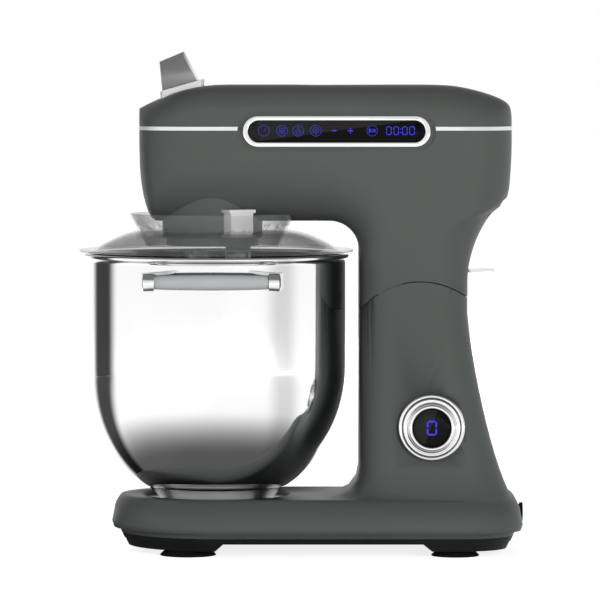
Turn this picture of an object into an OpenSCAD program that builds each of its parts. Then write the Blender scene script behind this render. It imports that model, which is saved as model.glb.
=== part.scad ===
// Tilt-head stand mixer. +Z up, -X front, origin on the bowl's axis at the level of the feet.

/* [Head] */
// Height of the head's underside
head_floor_z = 290; // [286:1:294]
// Height of the head from underside to crown
head_h = 119; // [114:1:124]
// Width of the head
head_w = 112; // [110:1:116]
// Front face of the head, ahead of the bowl's axis
head_front = 67.5; // [66:0.5:72]
// Rear face of the head, behind the bowl's axis
head_rear = 259; // [256:1:264]
// Height of the trim line above the underside
split_h = 81; // [79:1:83]
// Wall thickness of all casings
wall = 3; // [2.5:0.1:3.5]
// Height of the chrome trim strip
trim_h = 3.5; // [2.5:0.1:4]
// Length of the display bezel
display_l = 163; // [150:1:170]
// Height of the display bezel
display_h = 27; // [24:1:28]
// Width of the lift grip across the head
grip_w = 46; // [36:1:52]

/* [Neck and column] */
// Front face of the neck and column, behind the bowl's axis
neck_front = 125; // [124:0.5:127]
// Rear face of the neck at the seam
neck_rear = 220; // [217:1:222]
// Distance of the tilt pivot behind the bowl's axis
pivot_x = 178; // [176:1:180]
// Height of the tilt pivot
pivot_z = 171; // [168:1:174]
// Radius of the seam between neck and column
seam_r = 67; // [66:0.5:68]
// Gap at the seam
seam_gap = 0.8; // [0.6:0.1:1.2]
// Radius of the hinge pin
hinge_pin_r = 5; // [4:0.5:6]

/* [Base] */
// Front end of the base, ahead of the bowl's axis
base_front = 92; // [88:1:98]
// Rear end of the base, behind the bowl's axis
base_rear = 268; // [266:1:272]
// Width of the base
base_w = 185; // [180:1:192]
// Height of the base's flat top
base_top_z = 49; // [48:1:52]
// Height of the crease between shoulder and skirt
crease_z = 36; // [33:1:38]
// Height of the line between casing and bottom tray
tray_line_z = 17; // [16:0.5:18]
// Height of the bottom tray's underside between the feet
tray_floor_z = 12; // [11:0.5:13]
// Height of the rubber feet
foot_h = 6; // [5:0.5:7]
// Diameter of the front feet
front_foot_d = 49; // [40:1:50]
// Diameter of the rear feet
rear_foot_d = 42; // [36:1:48]

/* [Bowl and guard] */
// Outer radius of the bowl
bowl_r = 114; // [110:1:116]
// Height of the bowl's rim
bowl_rim_z = 261; // [258:1:262]
// Thickness of the bowl's sheet
bowl_t = 1.2; // [1:0.1:1.6]
// Height at which the bowl's wall starts to curve in
bowl_curve_z = 163; // [155:1:170]
// Radius of the recess in the base
recess_r = 65.5; // [64:0.5:67]
// Radius at the top of the bowl's foot
foot_ring_r = 60; // [58:0.5:61]
// Length of the handle's soft grip
handle_l = 104; // [90:1:110]
// Diameter of the handle's soft grip
handle_d = 13.4; // [12:0.2:16]
// Radius of the guard's flange
guard_r = 120.5; // [119:0.5:121]
// Thickness of the guard's sheet
guard_t = 2; // [1.8:0.1:2.4]
// Radius at the top of the guard's funnel
funnel_top_r = 73.5; // [70:0.5:76]
// Radius at the bottom of the guard's funnel
funnel_low_r = 58; // [56:0.5:60]

/* [Drive] */
// Centre of the planetary hub along X
hub_x = -3.5; // [-4:0.5:0]
// Radius of the output shaft
output_r = 7; // [6:0.5:7.5]
// Radius of the agitator shaft
agitator_r = 6; // [5:0.5:6.5]
// Radius of the countershaft
counter_r = 5; // [4:0.5:5.5]
// Radius of the large pulley
big_pulley_r = 40; // [38:1:41]
// Radius of the motor pulley
small_pulley_r = 13.33; // [12:0.33:14]
// Radius of the motor housing
motor_r = 32; // [30:0.5:33]
// Radius of the motor shaft
motor_shaft_r = 4; // [3.5:0.5:5]

/* [Knob] */
// Outer radius of the knob's bezel
knob_r = 29; // [27:0.5:30]
// Outer radius of the turning ring
ring_knob_r = 25; // [23:0.5:25.5]
// Radius of the knob's lens
lens_r = 16.2; // [15:0.2:17]
// Height of the knob's centre
knob_z = 111.3; // [108:0.5:115]
// Distance of the knob's centre behind the bowl's axis
knob_x = 188; // [186:1:190]

/* [Hidden] */
$fn = 64;

ring_steps = 9;          // facets in each corner of a lofted casing
gear_m = 1.25;           // module of every gear
main_teeth = 72;
small_teeth = 18;        // teeth of the countershaft pinion and of the planet
ring_teeth = 54;         // teeth of the fixed ring gear
overrun = 1;             // how far a cutter reaches past what it cuts
fit_gap = 0.05;          // running clearance of a shaft in its hole
seat_gap = 0.2;          // clearance between pieces fixed together
body_gap = 0.6;          // clearance between pieces that move apart
head_half = head_w / 2;
neck_half = head_half - 0.6;
split_z = head_floor_z + split_h;
crown_z = head_floor_z + head_h;
round_h = 60;            // height over which the head's underside rounds into its side
front_tuck = 15.5;       // how far the front face tucks in at the underside
rear_tuck = 24;          // how far the rear face tucks in at the underside
underside_half = 6;      // half width of the flat strip along the underside
head_front_r = 48;       // plan radius of the head's front corners
head_rear_r = 42;        // plan radius of the head's rear corners
crown_front = 62;        // length of the slope from the front face to the crown
crown_rear = 55;         // length of the slope from the rear face to the crown
crown_side = 32;         // width of the rounding from the side to the crown
underfillet_r = 25;      // fillet between underside and neck
neck_corner_r = 24;      // front corner radius of neck and column
base_half = base_w / 2;
top_half = 72;           // half width of the base's flat top
shoulder = base_half - top_half;
column_flare_h = 70;     // height over which the column's sides flare out
column_fillet_r = 25;    // fillet between column and the base's flat top
column_lean = base_rear - 2 - neck_rear;

// Plan outline at height z, from x0 to x1, with front corner radius rf and rear corner radius rr
function plan_ring(z, x0, x1, half, rf, rr) =
    [for (c = [[x1 - rr, half - rr, rr, 0], [x0 + rf, half - rf, rf, 90],
               [x0 + rf, rf - half, rf, 180], [x1 - rr, rr - half, rr, 270]])
        for (i = [0:ring_steps])
            let (a = c[3] + 90 * i / ring_steps)
            [c[0] + c[2] * cos(a), c[1] + c[2] * sin(a), z]];

// Solid through a stack of plan outlines
module loft(rings) {
    n = len(rings[0]);
    top = (len(rings) - 1) * n;
    polyhedron(
        points = [for (r = rings) each r],
        faces = concat(
            [[for (i = [0:n - 1]) i]],
            [[for (i = [n - 1:-1:0]) top + i]],
            [for (k = [0:len(rings) - 2]) for (i = [0:n - 1])
                [k * n + i, (k + 1) * n + i, (k + 1) * n + (i + 1) % n, k * n + (i + 1) % n]]));
}

// Cylinder along Y, centred on y
module cross_cylinder(r, x, y, z, length) {
    translate([x, y, z]) rotate([90, 0, 0]) cylinder(r = r, h = length, center = true);
}

// Stadium-shaped block along X, its face square to Y
module stadium(length, height, x, y, z, depth) {
    translate([x, y, z]) {
        cube([length - height, depth, height], center = true);
        for (s = [-1, 1]) translate([s * (length - height) / 2, 0, 0])
            rotate([90, 0, 0]) cylinder(d = height, h = depth, center = true);
    }
}

// Pie slice about the tilt pivot: angles are measured from straight up, towards the rear
module pivot_sector(a0, a1, r0, r1, y, width) {
    steps = 8;
    function at(r, a) = [pivot_x + r * sin(a), pivot_z + r * cos(a)];
    translate([0, y + width / 2, 0]) rotate([90, 0, 0]) linear_extrude(width)
        polygon(concat([for (i = [0:steps]) at(r1, a0 + (a1 - a0) * i / steps)],
                       [for (i = [steps:-1:0]) at(r0, a0 + (a1 - a0) * i / steps)]));
}

// ---- head shell ----
// One row per ring from the split to the crown: shares of height, front slope, rear slope, side rounding
crown_rows = [[0, 0, 0, 0], [0.24, 0.005, 0, 0.02], [0.45, 0.03, 0.01, 0.1], [0.55, 0.11, 0.04, 0.16],
              [0.66, 0.27, 0.1, 0.25], [0.79, 0.48, 0.24, 0.39], [0.89, 0.68, 0.45, 0.55],
              [0.97, 0.87, 0.74, 0.78], [1, 1, 1, 1]];

function crown_ring(row, inset) =
    let (half = head_half - row[3] * crown_side - inset)
    plan_ring(split_z + row[0] * (head_h - split_h - inset),
              -head_front + row[1] * crown_front + inset, head_rear - row[2] * crown_rear - inset,
              half, min(head_front_r - inset, half - 1), min(head_rear_r - inset, half - 1));

// The lower half follows a quarter ellipse: a = 0 at the underside, 90 where the side is upright
function lower_ring(a, inset) =
    let (half = underside_half + (head_half - underside_half) * sin(a) - min(inset, 3 * sin(a) + 0.5))
    plan_ring(head_floor_z + round_h - (round_h - inset) * cos(a),
              -head_front + front_tuck * (1 - sin(a)) + inset,
              head_rear - rear_tuck * (1 - sin(a)) - inset,
              half, min(head_front_r - inset, half - 1), min(head_rear_r - inset, half - 1));

module crown_solid(inset, below) {
    loft(concat([[for (p = crown_ring(crown_rows[0], inset)) p - [0, 0, below]]],
                [for (row = crown_rows) if (row[0] > 0 || below == 0) crown_ring(row, inset)]));
}

module lower_solid(inset, above) {
    loft(concat([for (a = [0:11.25:90]) lower_ring(a, inset)],
                [[for (p = crown_ring(crown_rows[0], inset)) p + [0, 0, above]]]));
}

// Neck outline at height z
neck_top_z = head_floor_z + 58;
function neck_front_x(z) =
    z > head_floor_z ? neck_front - underfillet_r - 0.9 * (z - head_floor_z) :
    z > head_floor_z - underfillet_r ?
        neck_front - underfillet_r + sqrt(pow(underfillet_r, 2) - pow(z - head_floor_z + underfillet_r, 2)) :
    neck_front;
neck_sweep_z = 242;      // height where the neck's rear starts to sweep back
neck_sweep = 31;         // how far it sweeps back
neck_sweep_h = 64;       // height of the sweep
function neck_rear_x(z) = neck_rear + neck_sweep * pow(min(1, max(0, (z - neck_sweep_z) / neck_sweep_h)), 2);
function neck_corner(z) = neck_corner_r + max(0, z - head_floor_z + underfillet_r) * 0.55;

function neck_rear_corner(z) = 26 + 22 * min(1, max(0, (z - neck_sweep_z) / neck_sweep_h));

module neck_solid(inset, from_z, to_z) {
    steps = 12;
    loft([for (i = [0:steps])
        let (z = from_z + (to_z - from_z) * i / steps)
        plan_ring(z, neck_front_x(z) + inset, neck_rear_x(z) - inset, neck_half - inset,
                  neck_corner(z) - inset, neck_rear_corner(z) - inset)]);
}

// Openings that both head casings share for the display
display_x = 105.3;
display_z = split_z - 2.3;
display_face_y = -head_half - 1.6;
module display_cut() {
    stadium(display_l + 9, display_h + 7, display_x, -head_half, display_z, 1.6);
    stadium(display_l - 5, display_h - 5, display_x, -head_half + wall, display_z, 5 * wall);
}

// Groove round the split for the trim strip
trim_depth = 1.6;
module trim_groove(proud) {
    difference() {
        loft([for (s = [-1, 1]) [for (p = crown_ring(crown_rows[0], -proud)) p + [0, 0, s * trim_h / 2]]]);
        loft([for (s = [-1, 1]) [for (p = crown_ring(crown_rows[0], trim_depth)) p + [0, 0, s * trim_h]]]);
    }
}

// ---- hub boss under the head ----
boss_r = 44;
boss_low_z = head_floor_z - 15;
boss_bore_r = boss_r - wall;
boss_top_z = head_floor_z + 30;
vent_z = head_floor_z + 12;
vent_x = 246;
vent_w = 60;
vent_tilt = 35;

module rear_vent_block(w, length, height) {
    translate([vent_x, 0, vent_z]) rotate([0, -vent_tilt, 0]) cube([length, w, height], center = true);
}

// Turns +Z to the direction a, measured from straight up towards the rear, at the tilt pivot
module from_pivot(a) translate([pivot_x, 0, pivot_z]) rotate([0, a, 0]) children();

// ---- tilt arms and lock ----
arm_y = 43;              // centre of each hinge arm across the mixer
arm_t = 6;
arm_mid = -23.5;          // direction of the arms from the pivot
arm_spread = 11;
eye_r = 11;
tilt_max = 32;           // degrees from working position to fully raised
bolt_a = 15.6;           // direction of the lock bolt from the pivot
bolt_r = 4;
bolt_bite = 1.8;         // how far the lock bolt enters the column
lever_x = pivot_x + 31;
lever_z = 246;
lever_w = 26;
lever_t = 3;
lever_pin_r = 2;

module head_lower_casing() color([0.29, 0.31, 0.3]) {
    difference() {
        union() {
            lower_solid(0, 0);
            neck_solid(0, pivot_z + 30, neck_top_z);
            translate([hub_x, 0, boss_low_z]) cylinder(r = boss_r, h = boss_top_z - boss_low_z);
        }
        lower_solid(wall, overrun);
        difference() {
            neck_solid(wall, pivot_z + 20, neck_top_z - wall);
            cross_cylinder(seam_r + seam_gap / 2 + wall, pivot_x, 0, pivot_z, head_w);
            for (s = [-1, 1]) translate([lever_x + 2, s * (lever_w / 2 + 2.6), lever_z]) cube([22, 4, 12], center = true);
        }
        cross_cylinder(seam_r + seam_gap / 2, pivot_x, 0, pivot_z, head_w + overrun);
        translate([hub_x, 0, boss_low_z - overrun]) cylinder(r = boss_bore_r, h = boss_top_z - boss_low_z);
        trim_groove(overrun);
        display_cut();
        for (s = [-1, 1])
            pivot_sector(arm_mid - arm_spread - 1, arm_mid + arm_spread + 1, seam_r - 5, seam_r + 10,
                         s * arm_y, arm_t + 1);
        from_pivot(bolt_a) cylinder(r = bolt_r + fit_gap, h = seam_r + 20);
        cross_cylinder(lever_pin_r + fit_gap, lever_x, 0, lever_z, lever_w + 12);
        translate([neck_rear, 0, lever_z - 1.2]) cube([22, lever_w + 1.4, 7.4], center = true);
        rear_vent_block(vent_w + 2 * seat_gap, 60, 3 + 2 * seat_gap);
    }
}

module head_top_cover() color([0.29, 0.31, 0.3]) {
    difference() {
        crown_solid(0, 0);
        crown_solid(wall, overrun);
        trim_groove(overrun);
        display_cut();
    }
}

module trim_strip() color([0.85, 0.85, 0.86]) {
    difference() {
        trim_groove(0.5);
        stadium(display_l + 9 + 2 * seat_gap, display_h + 7, display_x, -head_half, display_z, 8);
    }
}

// ---- base and column ----
skirt_z = tray_line_z + 4;       // underside of the skirt's flange
flange_step = 7;                 // how far the casing steps in below the flange at the ends
recess_floor_z = base_top_z - 6;

// Rear line of the column: lean is its share of the way from the seam to the base
function lean(t) = 0.44 * t + 0.42 * t * t + 0.14 * pow(t, 8);
function column_rear_x(z) = neck_rear + column_lean * lean(min(1, (pivot_z + 36 - min(z, pivot_z + 36)) / (pivot_z + 36 - crease_z)));
function column_front_x(z) = z < base_top_z + column_fillet_r ?
    neck_front - column_fillet_r
        + sqrt(pow(column_fillet_r, 2) - pow(column_fillet_r - max(0, z - base_top_z), 2)) : neck_front;
function column_half(z) = neck_half + (top_half - neck_half)
    * pow(max(0, min(1, 1 - (z - base_top_z) / column_flare_h)), 4.4);
// Share of the shoulder's width at height z, from crease to flat top
function shoulder_in(z) = shoulder * pow((z - crease_z) / (base_top_z - crease_z), 1.25);

module platform_solid(inset, top_z) {
    function level(z, front_in, half_in) =
        plan_ring(z, -base_front + front_in + inset, base_rear - front_in - inset,
                  base_half - half_in - inset, base_half - half_in - 4 - inset, 46 - inset);
    low = inset > 0 ? tray_line_z - overrun : tray_line_z;
    loft(concat(
        [level(low, flange_step + 1, 2.5), level(skirt_z, flange_step, 1.2)],
        inset > 0 ? [] : [level(skirt_z + 0.2, 1.5, 0.4)],
        [level(skirt_z + 5, 0, 0)],
        [for (z = [crease_z:(top_z - crease_z) / 4:top_z + 0.01])
            level(z, 2 + 6 * pow((z - crease_z) / (base_top_z - crease_z), 2), 4 + shoulder_in(z) * 0.81)]));
}

module column_solid(inset, from_z, to_z) {
    steps = 16;
    sliver = 0.25;       // keeps the column's foot just inside the shoulder
    loft([for (i = [0:steps])
        let (z = from_z + (to_z - from_z) * pow(i / steps, 1.5))
        let (below = max(0, base_top_z - z))
        // the hollow takes its front from a little higher, so the flat part of the fillet keeps its wall
        let (up = z + 1.5 * inset * max(0, min(1, 1 - (z - base_top_z) / 30)))
        plan_ring(z, column_front_x(up) + inset, column_rear_x(z) - inset - sliver,
                  column_half(z) + below * 0.9 - inset - sliver,
                  neck_corner_r + column_fillet_r * pow(max(0, 1 - (up - base_top_z) / 40), 2) - inset,
                  26 + 20 * pow(max(0, 1 - (z - crease_z) / 60), 2) - inset)]);
}

// What lies under the arch on which the neck rolls
module under_arch(r) {
    union() {
        cross_cylinder(r, pivot_x, 0, pivot_z, head_w + overrun);
        translate([neck_front - 60, -base_half, -overrun]) cube([base_rear, base_w, pivot_z + overrun]);
    }
}

boss_y0 = arm_y + arm_t / 2 + body_gap;
gland_y = 30;
gland_z = 30;
gland_r = 7;
cord_bore_r = 3.6;
tray_screw_at = [for (b = [[42 - base_front, base_half - 47.5], [(base_rear - base_front) / 2, base_half - 32.5],
                          [base_rear - 30, base_half - 22.5]]) for (s = [-1, 1]) [b[0], s * b[1]]];
tray_boss_r = 6;
seat_screw_pcd = 56;
knob_hole_r = knob_r - 4;
knob_face_y = -neck_half;

module base_casing() color([0.29, 0.31, 0.3]) {
    difference() {
        union() {
            difference() {
                union() {
                    platform_solid(0, base_top_z);
                    intersection() {
                        column_solid(0, crease_z + 2, pivot_z + seam_r + 10);
                        under_arch(seam_r - seam_gap / 2);
                    }
                }
                platform_solid(wall, base_top_z - wall);
                intersection() {
                    column_solid(wall, crease_z - 4, pivot_z + seam_r);
                    under_arch(seam_r - seam_gap / 2 - wall);
                }
            }
            translate([0, 0, recess_floor_z - wall]) cylinder(r = recess_r + wall, h = base_top_z - recess_floor_z + wall - 0.5);
            for (s = [-1, 1])
                cross_cylinder(eye_r, pivot_x, s * (boss_y0 + neck_half - 1) / 2, pivot_z, neck_half - 1 - boss_y0);
            intersection() {
                for (p = tray_screw_at) hull() for (e = [[p[1], tray_boss_r], [sign(p[1]) * base_half, wall]])
                    translate([p[0], e[0], tray_line_z + 1]) cylinder(r = e[1], h = base_top_z - tray_line_z);
                platform_solid(wall / 2, base_top_z - wall / 2);
            }
        }
        translate([0, 0, recess_floor_z]) cylinder(r = recess_r, h = 20);
        for (i = [0:2]) rotate(120 * i + 30) translate([seat_screw_pcd / 2, 0, recess_floor_z - 2 * wall])
            cylinder(r = 1.8, h = 3 * wall);
        cross_cylinder(hinge_pin_r + fit_gap, pivot_x, 0, pivot_z, 2 * neck_half - 4);
        for (s = [-1, 1])
            pivot_sector(arm_mid - arm_spread - 2, arm_mid + arm_spread + tilt_max + 3, seam_r - 10, seam_r + 5,
                         s * arm_y, arm_t + 2 * body_gap);
        pivot_sector(bolt_a - 6, 60, seam_r - bolt_bite - body_gap, seam_r + 5,
                     0, 2 * (bolt_r + body_gap));
        cross_cylinder(knob_hole_r, knob_x, knob_face_y, knob_z, 4 * wall);
        cross_cylinder(knob_r + seat_gap, knob_x, knob_face_y + 0.8 - 5, knob_z, 10);
        cross_cylinder(encoder_flange_r + seat_gap, knob_x, encoder_y + 10, knob_z, 20);
        for (p = tray_screw_at) translate([p[0], p[1], tray_line_z - overrun]) cylinder(r = 1.6, h = 14);
        translate([base_rear - 15, gland_y, gland_z]) rotate([0, 90, 0]) cylinder(r = gland_r, h = 20);
    }
}

// Solid between the tray's outline at the casing and its narrower underside
module tray_solid(inset, low_z, high_z) {
    loft([for (z = [low_z, high_z])
        let (k = (tray_line_z - z) * 0.5 + inset)
        plan_ring(z, -base_front + flange_step + 1 + k, base_rear - flange_step - 1 - k, base_half - 2.5 - k,
                  base_half - 7 - k, 46 - k)]);
}

foot_at = [[-24, 55, front_foot_d], [-24, -55, front_foot_d], [208.5, 60, rear_foot_d], [208.5, -60, rear_foot_d]];

module bottom_tray() color([0.12, 0.13, 0.125]) {
    difference() {
        union() {
            tray_solid(0, tray_floor_z, tray_line_z);
            intersection() {
                tray_solid(0.6, foot_h - 0.5, tray_floor_z + 1);
                for (e = [[-130, 108, 1], [179, 108, -1]]) translate([e[0], base_half, 0]) rotate([90, 0, 0])
                    linear_extrude(base_w) polygon(e[2] > 0
                        ? [[0, foot_h - 2], [130, foot_h - 2], [130, foot_h - 0.5], [138, tray_floor_z + 1], [0, tray_floor_z + 1]]
                        : [[9, foot_h - 2], [120, foot_h - 2], [120, tray_floor_z + 1], [0, tray_floor_z + 1], [9, foot_h - 0.5]]);
            }
        }
        tray_solid(wall, tray_floor_z + wall, tray_line_z + overrun);
        for (x = [50:10:150]) for (s = [-1, 1]) translate([x, s * 27, tray_floor_z])
            cube([4.5, 42, 4 * wall], center = true);
        for (p = tray_screw_at) translate([p[0], p[1], 0]) {
            cylinder(r = 2, h = 30);
            cylinder(r = 4, h = tray_floor_z + 1);
        }
    }
}

module tray_screws() color([0.6, 0.6, 0.62])
    for (p = tray_screw_at) translate([p[0], p[1], tray_floor_z + 1 - fit_gap]) {
        translate([0, 0, -2]) cylinder(r = 3.6, h = 2);
        translate([0, 0, -0.01]) cylinder(r = 1.5, h = 12);
    }

// Rubber foot, wider at the bottom
module feet() color([0.08, 0.08, 0.08])
    for (f = foot_at) translate([f[0], f[1], 0]) rotate_extrude() polygon([
        [0, 1], [f[2] / 2 - 8, 1], [f[2] / 2 - 6, 0], [f[2] / 2, 0], [f[2] / 2 - 4.5, foot_h - 0.5], [0, foot_h - 0.5]]);

// ---- bowl seat and bowl ----
lug_count = 3;
lug_arc = 24;
foot_low_z = recess_floor_z + 2.4;
foot_low_r = foot_ring_r - 11;
lug_r0 = foot_low_r - 9;
lug_r1 = foot_low_r - 3.5;
foot_top_z = foot_low_z + 10.5;
tab_t = 2;

// Ring sector of radii r0 to r1 about the bowl's axis
module arc_block(r0, r1, a0, a1, z, h) {
    translate([0, 0, z]) rotate(a0) rotate_extrude(angle = a1 - a0) translate([r0, 0]) square([r1 - r0, h]);
}

module bowl_seat() color([0.75, 0.75, 0.76]) {
    difference() {
        union() {
            translate([0, 0, recess_floor_z]) cylinder(r = recess_r - 2, h = 2);
            translate([0, 0, recess_floor_z]) cylinder(r = lug_r0, h = foot_low_z + tab_t + 4 - recess_floor_z);
            for (i = [0:lug_count - 1]) rotate(i * 360 / lug_count) {
                arc_block(lug_r0 - 1, lug_r1, -lug_arc / 2, lug_arc / 2, foot_low_z + tab_t + 0.5, 2.5);
                arc_block(lug_r0 - 1, lug_r1, -lug_arc / 2 - 4, -lug_arc / 2, recess_floor_z, foot_low_z + tab_t + 3 - recess_floor_z);
            }
        }
        translate([0, 0, recess_floor_z + 2]) cylinder(r = lug_r0 - 4, h = 20);
        for (i = [0:2]) rotate(120 * i + 30) translate([seat_screw_pcd / 2, 0, 0]) cylinder(r = 1.8, h = 60);
    }
}

module seat_screws() color([0.7, 0.7, 0.7])
    for (i = [0:2]) rotate(120 * i + 30) translate([seat_screw_pcd / 2, 0, recess_floor_z + 2]) {
        translate([0, 0, -2 * wall]) cylinder(r = 1.6, h = 2 * wall + 0.01);
        cylinder(r = 3.2, h = 2.2);
    }

// Outer radius of the bowl at height z: a quarter ellipse below the upright wall
bowl_axis_r = 20;
bowl_fall = (bowl_curve_z - foot_top_z) / sqrt(1 - pow((foot_ring_r - bowl_axis_r) / (bowl_r - bowl_axis_r), 2));
function bowl_at(z) = z >= bowl_curve_z ? bowl_r :
    bowl_axis_r + (bowl_r - bowl_axis_r) * sqrt(1 - pow((bowl_curve_z - z) / bowl_fall, 2));
bowl_steps = 14;
function bowl_z(i) = foot_top_z + (bowl_curve_z - foot_top_z) * pow(i / bowl_steps, 1.2);
rim_r = 2.2;

module bowl() color([0.8, 0.8, 0.8]) rotate_extrude($fn = 96) polygon(concat(
    [[0, foot_top_z]],
    [for (i = [0:bowl_steps]) [bowl_at(bowl_z(i)), bowl_z(i)]],
    [[bowl_r, bowl_rim_z - 2 * rim_r]],
    [for (a = [-60:30:90]) [bowl_r + 0.6 + rim_r * cos(a), bowl_rim_z - rim_r + rim_r * sin(a)]],
    [[bowl_r - bowl_t, bowl_rim_z - 0.4]],
    [for (i = [bowl_steps:-1:0]) [bowl_at(bowl_z(i)) - bowl_t, bowl_z(i) + bowl_t * (1 - i / bowl_steps)]],
    [[0, foot_top_z + bowl_t]]));

module bowl_foot() color([0.85, 0.85, 0.86]) {
    rotate_extrude($fn = 96) polygon([
        [foot_low_r, foot_low_z], [foot_ring_r, foot_top_z], [foot_ring_r - 3, foot_top_z],
        [foot_low_r - 2.4, foot_low_z + tab_t], [lug_r1 + body_gap, foot_low_z + tab_t],
        [lug_r1 + body_gap, foot_low_z]]);
    for (i = [0:lug_count - 1]) rotate(i * 360 / lug_count)
        arc_block(lug_r0 + body_gap, lug_r1 + 1, -lug_arc / 2 + 1, lug_arc / 2, foot_low_z, tab_t);
}

handle_z = bowl_rim_z - 20;
handle_y = -bowl_r - 24;
handle_x = -2;
module handle_grip() color([0.56, 0.61, 0.6]) translate([handle_x, handle_y, handle_z]) {
    rotate([0, 90, 0]) cylinder(d = handle_d, h = handle_l - handle_d, center = true);
    for (s = [-1, 1]) translate([s * (handle_l - handle_d) / 2, 0, 0]) sphere(d = handle_d);
}

// Two bent arms that carry the grip on the bowl's wall
module handle_brackets() color([0.85, 0.85, 0.86]) difference() {
    for (s = [-1, 1]) hull() {
        translate([handle_x + s * (handle_l / 2 + 1.5), handle_y, handle_z]) rotate([0, 90, 0])
            cylinder(d = handle_d + 2.4, h = 9, center = true, $fn = 32);
        translate([handle_x + s * (handle_l / 2 + 6), -bowl_r * 0.8, handle_z])
            cube([7, 8, handle_d], center = true);
    }
    cylinder(r = bowl_r, h = bowl_rim_z + 20);
    translate([handle_x, handle_y, handle_z]) {
        rotate([0, 90, 0]) cylinder(d = handle_d, h = handle_l - handle_d, center = true);
        for (s = [-1, 1]) translate([s * (handle_l - handle_d) / 2, 0, 0]) sphere(d = handle_d);
    }
}

// ---- splash guard ----
guard_low_z = bowl_rim_z + 1.5;
dome_r = 108;
dome_rise = 17.5;
funnel_low_z = guard_low_z + 5;
funnel_top_z = funnel_low_z + 28.5;
dome_in_r = funnel_low_r + 2;
function dome_z(r) = guard_low_z + guard_t + dome_rise * sin(90 * (dome_r - r) / (dome_r - dome_in_r));

// Cone of the funnel, grown by extra, from its mouth down
module funnel_cone(extra) translate([hub_x, 0, funnel_low_z])
    cylinder(r1 = funnel_low_r + extra, r2 = funnel_top_r + extra, h = funnel_top_z - funnel_low_z);

// What is open inside the funnel, made wider by extra
module funnel_bore(extra) {
    slope = (funnel_top_r - funnel_low_r) / (funnel_top_z - funnel_low_z);
    translate([hub_x, 0, funnel_low_z - overrun]) cylinder(
        r1 = funnel_low_r - guard_t + extra - slope * overrun, r2 = funnel_top_r - guard_t + extra + slope * overrun,
        h = funnel_top_z - funnel_low_z + 2 * overrun);
}

module splash_guard() color([0.9, 0.95, 0.95, 0.35]) difference() {
    union() {
        rotate_extrude($fn = 96) polygon(concat(
            [[guard_r, guard_low_z], [guard_r, guard_low_z + guard_t]],
            [for (i = [0:8]) let (r = dome_r - (dome_r - dome_in_r) * i / 8) [r, dome_z(r)]],
            [for (i = [8:-1:0]) let (r = dome_r - (dome_r - dome_in_r) * i / 8) [r, dome_z(r) - guard_t]]));
        funnel_cone(0);
    }
    funnel_bore(0);
    // the rear of the funnel clears the head's rounded underside
    translate([hub_x + guard_r / 3, 0, 0]) rotate([90, 0, 90]) linear_extrude(guard_r / 2) polygon([
        for (s = [-1, 1]) for (i = [0:5]) let (a = s < 0 ? 50 - 10 * i : 10 * i)
            [s * (underside_half + (head_half - underside_half) * sin(a)),
             head_floor_z - body_gap + round_h * (1 - cos(a))]]);
}

clip_a = 62;
clip_w = 21.5;
clip_low_z = boss_low_z + 1;
clip_h = 24.5;
clip_r = 57;
module guard_clips() color([0.95, 0.95, 0.95]) difference() {
    for (a = [-clip_a, 180 - clip_a]) translate([hub_x, 0, clip_low_z]) rotate(a) {
        translate([boss_r - 4, -clip_w / 2, 0]) cube([clip_r - boss_r + 4, clip_w, clip_h]);
        translate([boss_r - 4, -clip_w / 2 - 2, 0]) cube([clip_r - boss_r + 8, clip_w + 4, 2.5]);
        translate([boss_r - 4, -clip_w / 2 - 2, clip_h - 3]) cube([clip_r - boss_r + 5, clip_w + 4, 3]);
    }
    translate([hub_x, 0, 0]) cylinder(r = boss_r + fit_gap, h = crown_z);
    difference() {
        translate([hub_x, 0, funnel_low_z]) cylinder(r = funnel_top_r + 20, h = funnel_top_z - funnel_low_z);
        funnel_bore(-fit_gap);
    }
}

// ---- speed knob ----
knob_seat_y = knob_face_y + 0.8;     // face of the spot-faced seat on the column
encoder_y = -neck_half + wall;
sleeve_r = lens_r + body_gap + 2;
encoder_depth = 9;
encoder_flange_r = knob_hole_r + 3;

// Cylinder of radius r about the knob's axis, from y0 to y1
module on_knob(r, y0, y1) cross_cylinder(r, knob_x, (y0 + y1) / 2, knob_z, abs(y1 - y0));

module knob_bezel() color([0.88, 0.88, 0.89]) difference() {
    on_knob(knob_r, knob_seat_y, knob_seat_y - 6);
    on_knob(ring_knob_r + body_gap, knob_seat_y + overrun, knob_seat_y - 8);
}

module knob_ring() color([0.86, 0.86, 0.87]) difference() {
    union() {
        translate([knob_x, knob_seat_y - 3, knob_z]) rotate([90, 0, 0]) rotate_extrude() polygon([
            [sleeve_r - 2, -2], [ring_knob_r, -2], [ring_knob_r, 4.5], [ring_knob_r - 3, 5.5],
            [sleeve_r + 1.4, 7.5], [sleeve_r + 1, 8.5], [sleeve_r - 2, 8.5]]);
        on_knob(sleeve_r, knob_seat_y - 3, encoder_y + 4);
    }
    on_knob(lens_r + body_gap, knob_seat_y - 14, encoder_y + 6);
}

module knob_lens() color([0.03, 0.03, 0.04]) {
    on_knob(lens_r, knob_seat_y - 10, knob_seat_y - 5);
    on_knob(lens_r / 2, knob_seat_y - 5, encoder_y + 5);
}

module speed_encoder() color([0.2, 0.35, 0.25]) difference() {
    union() {
        on_knob(encoder_flange_r, encoder_y, encoder_y + 3);
        on_knob(sleeve_r + 4, encoder_y + 3, encoder_y + encoder_depth);
    }
    on_knob(sleeve_r + fit_gap, encoder_y - overrun, encoder_y + 5);
}

module control_board() color([0.1, 0.4, 0.2]) {
    translate([knob_x - 30, encoder_y + encoder_depth, knob_z - 25]) cube([50, 1.6, 50]);
    translate([knob_x - 20, encoder_y + encoder_depth + 1.6, knob_z - 10]) cube([20, 6, 20]);
}

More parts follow.
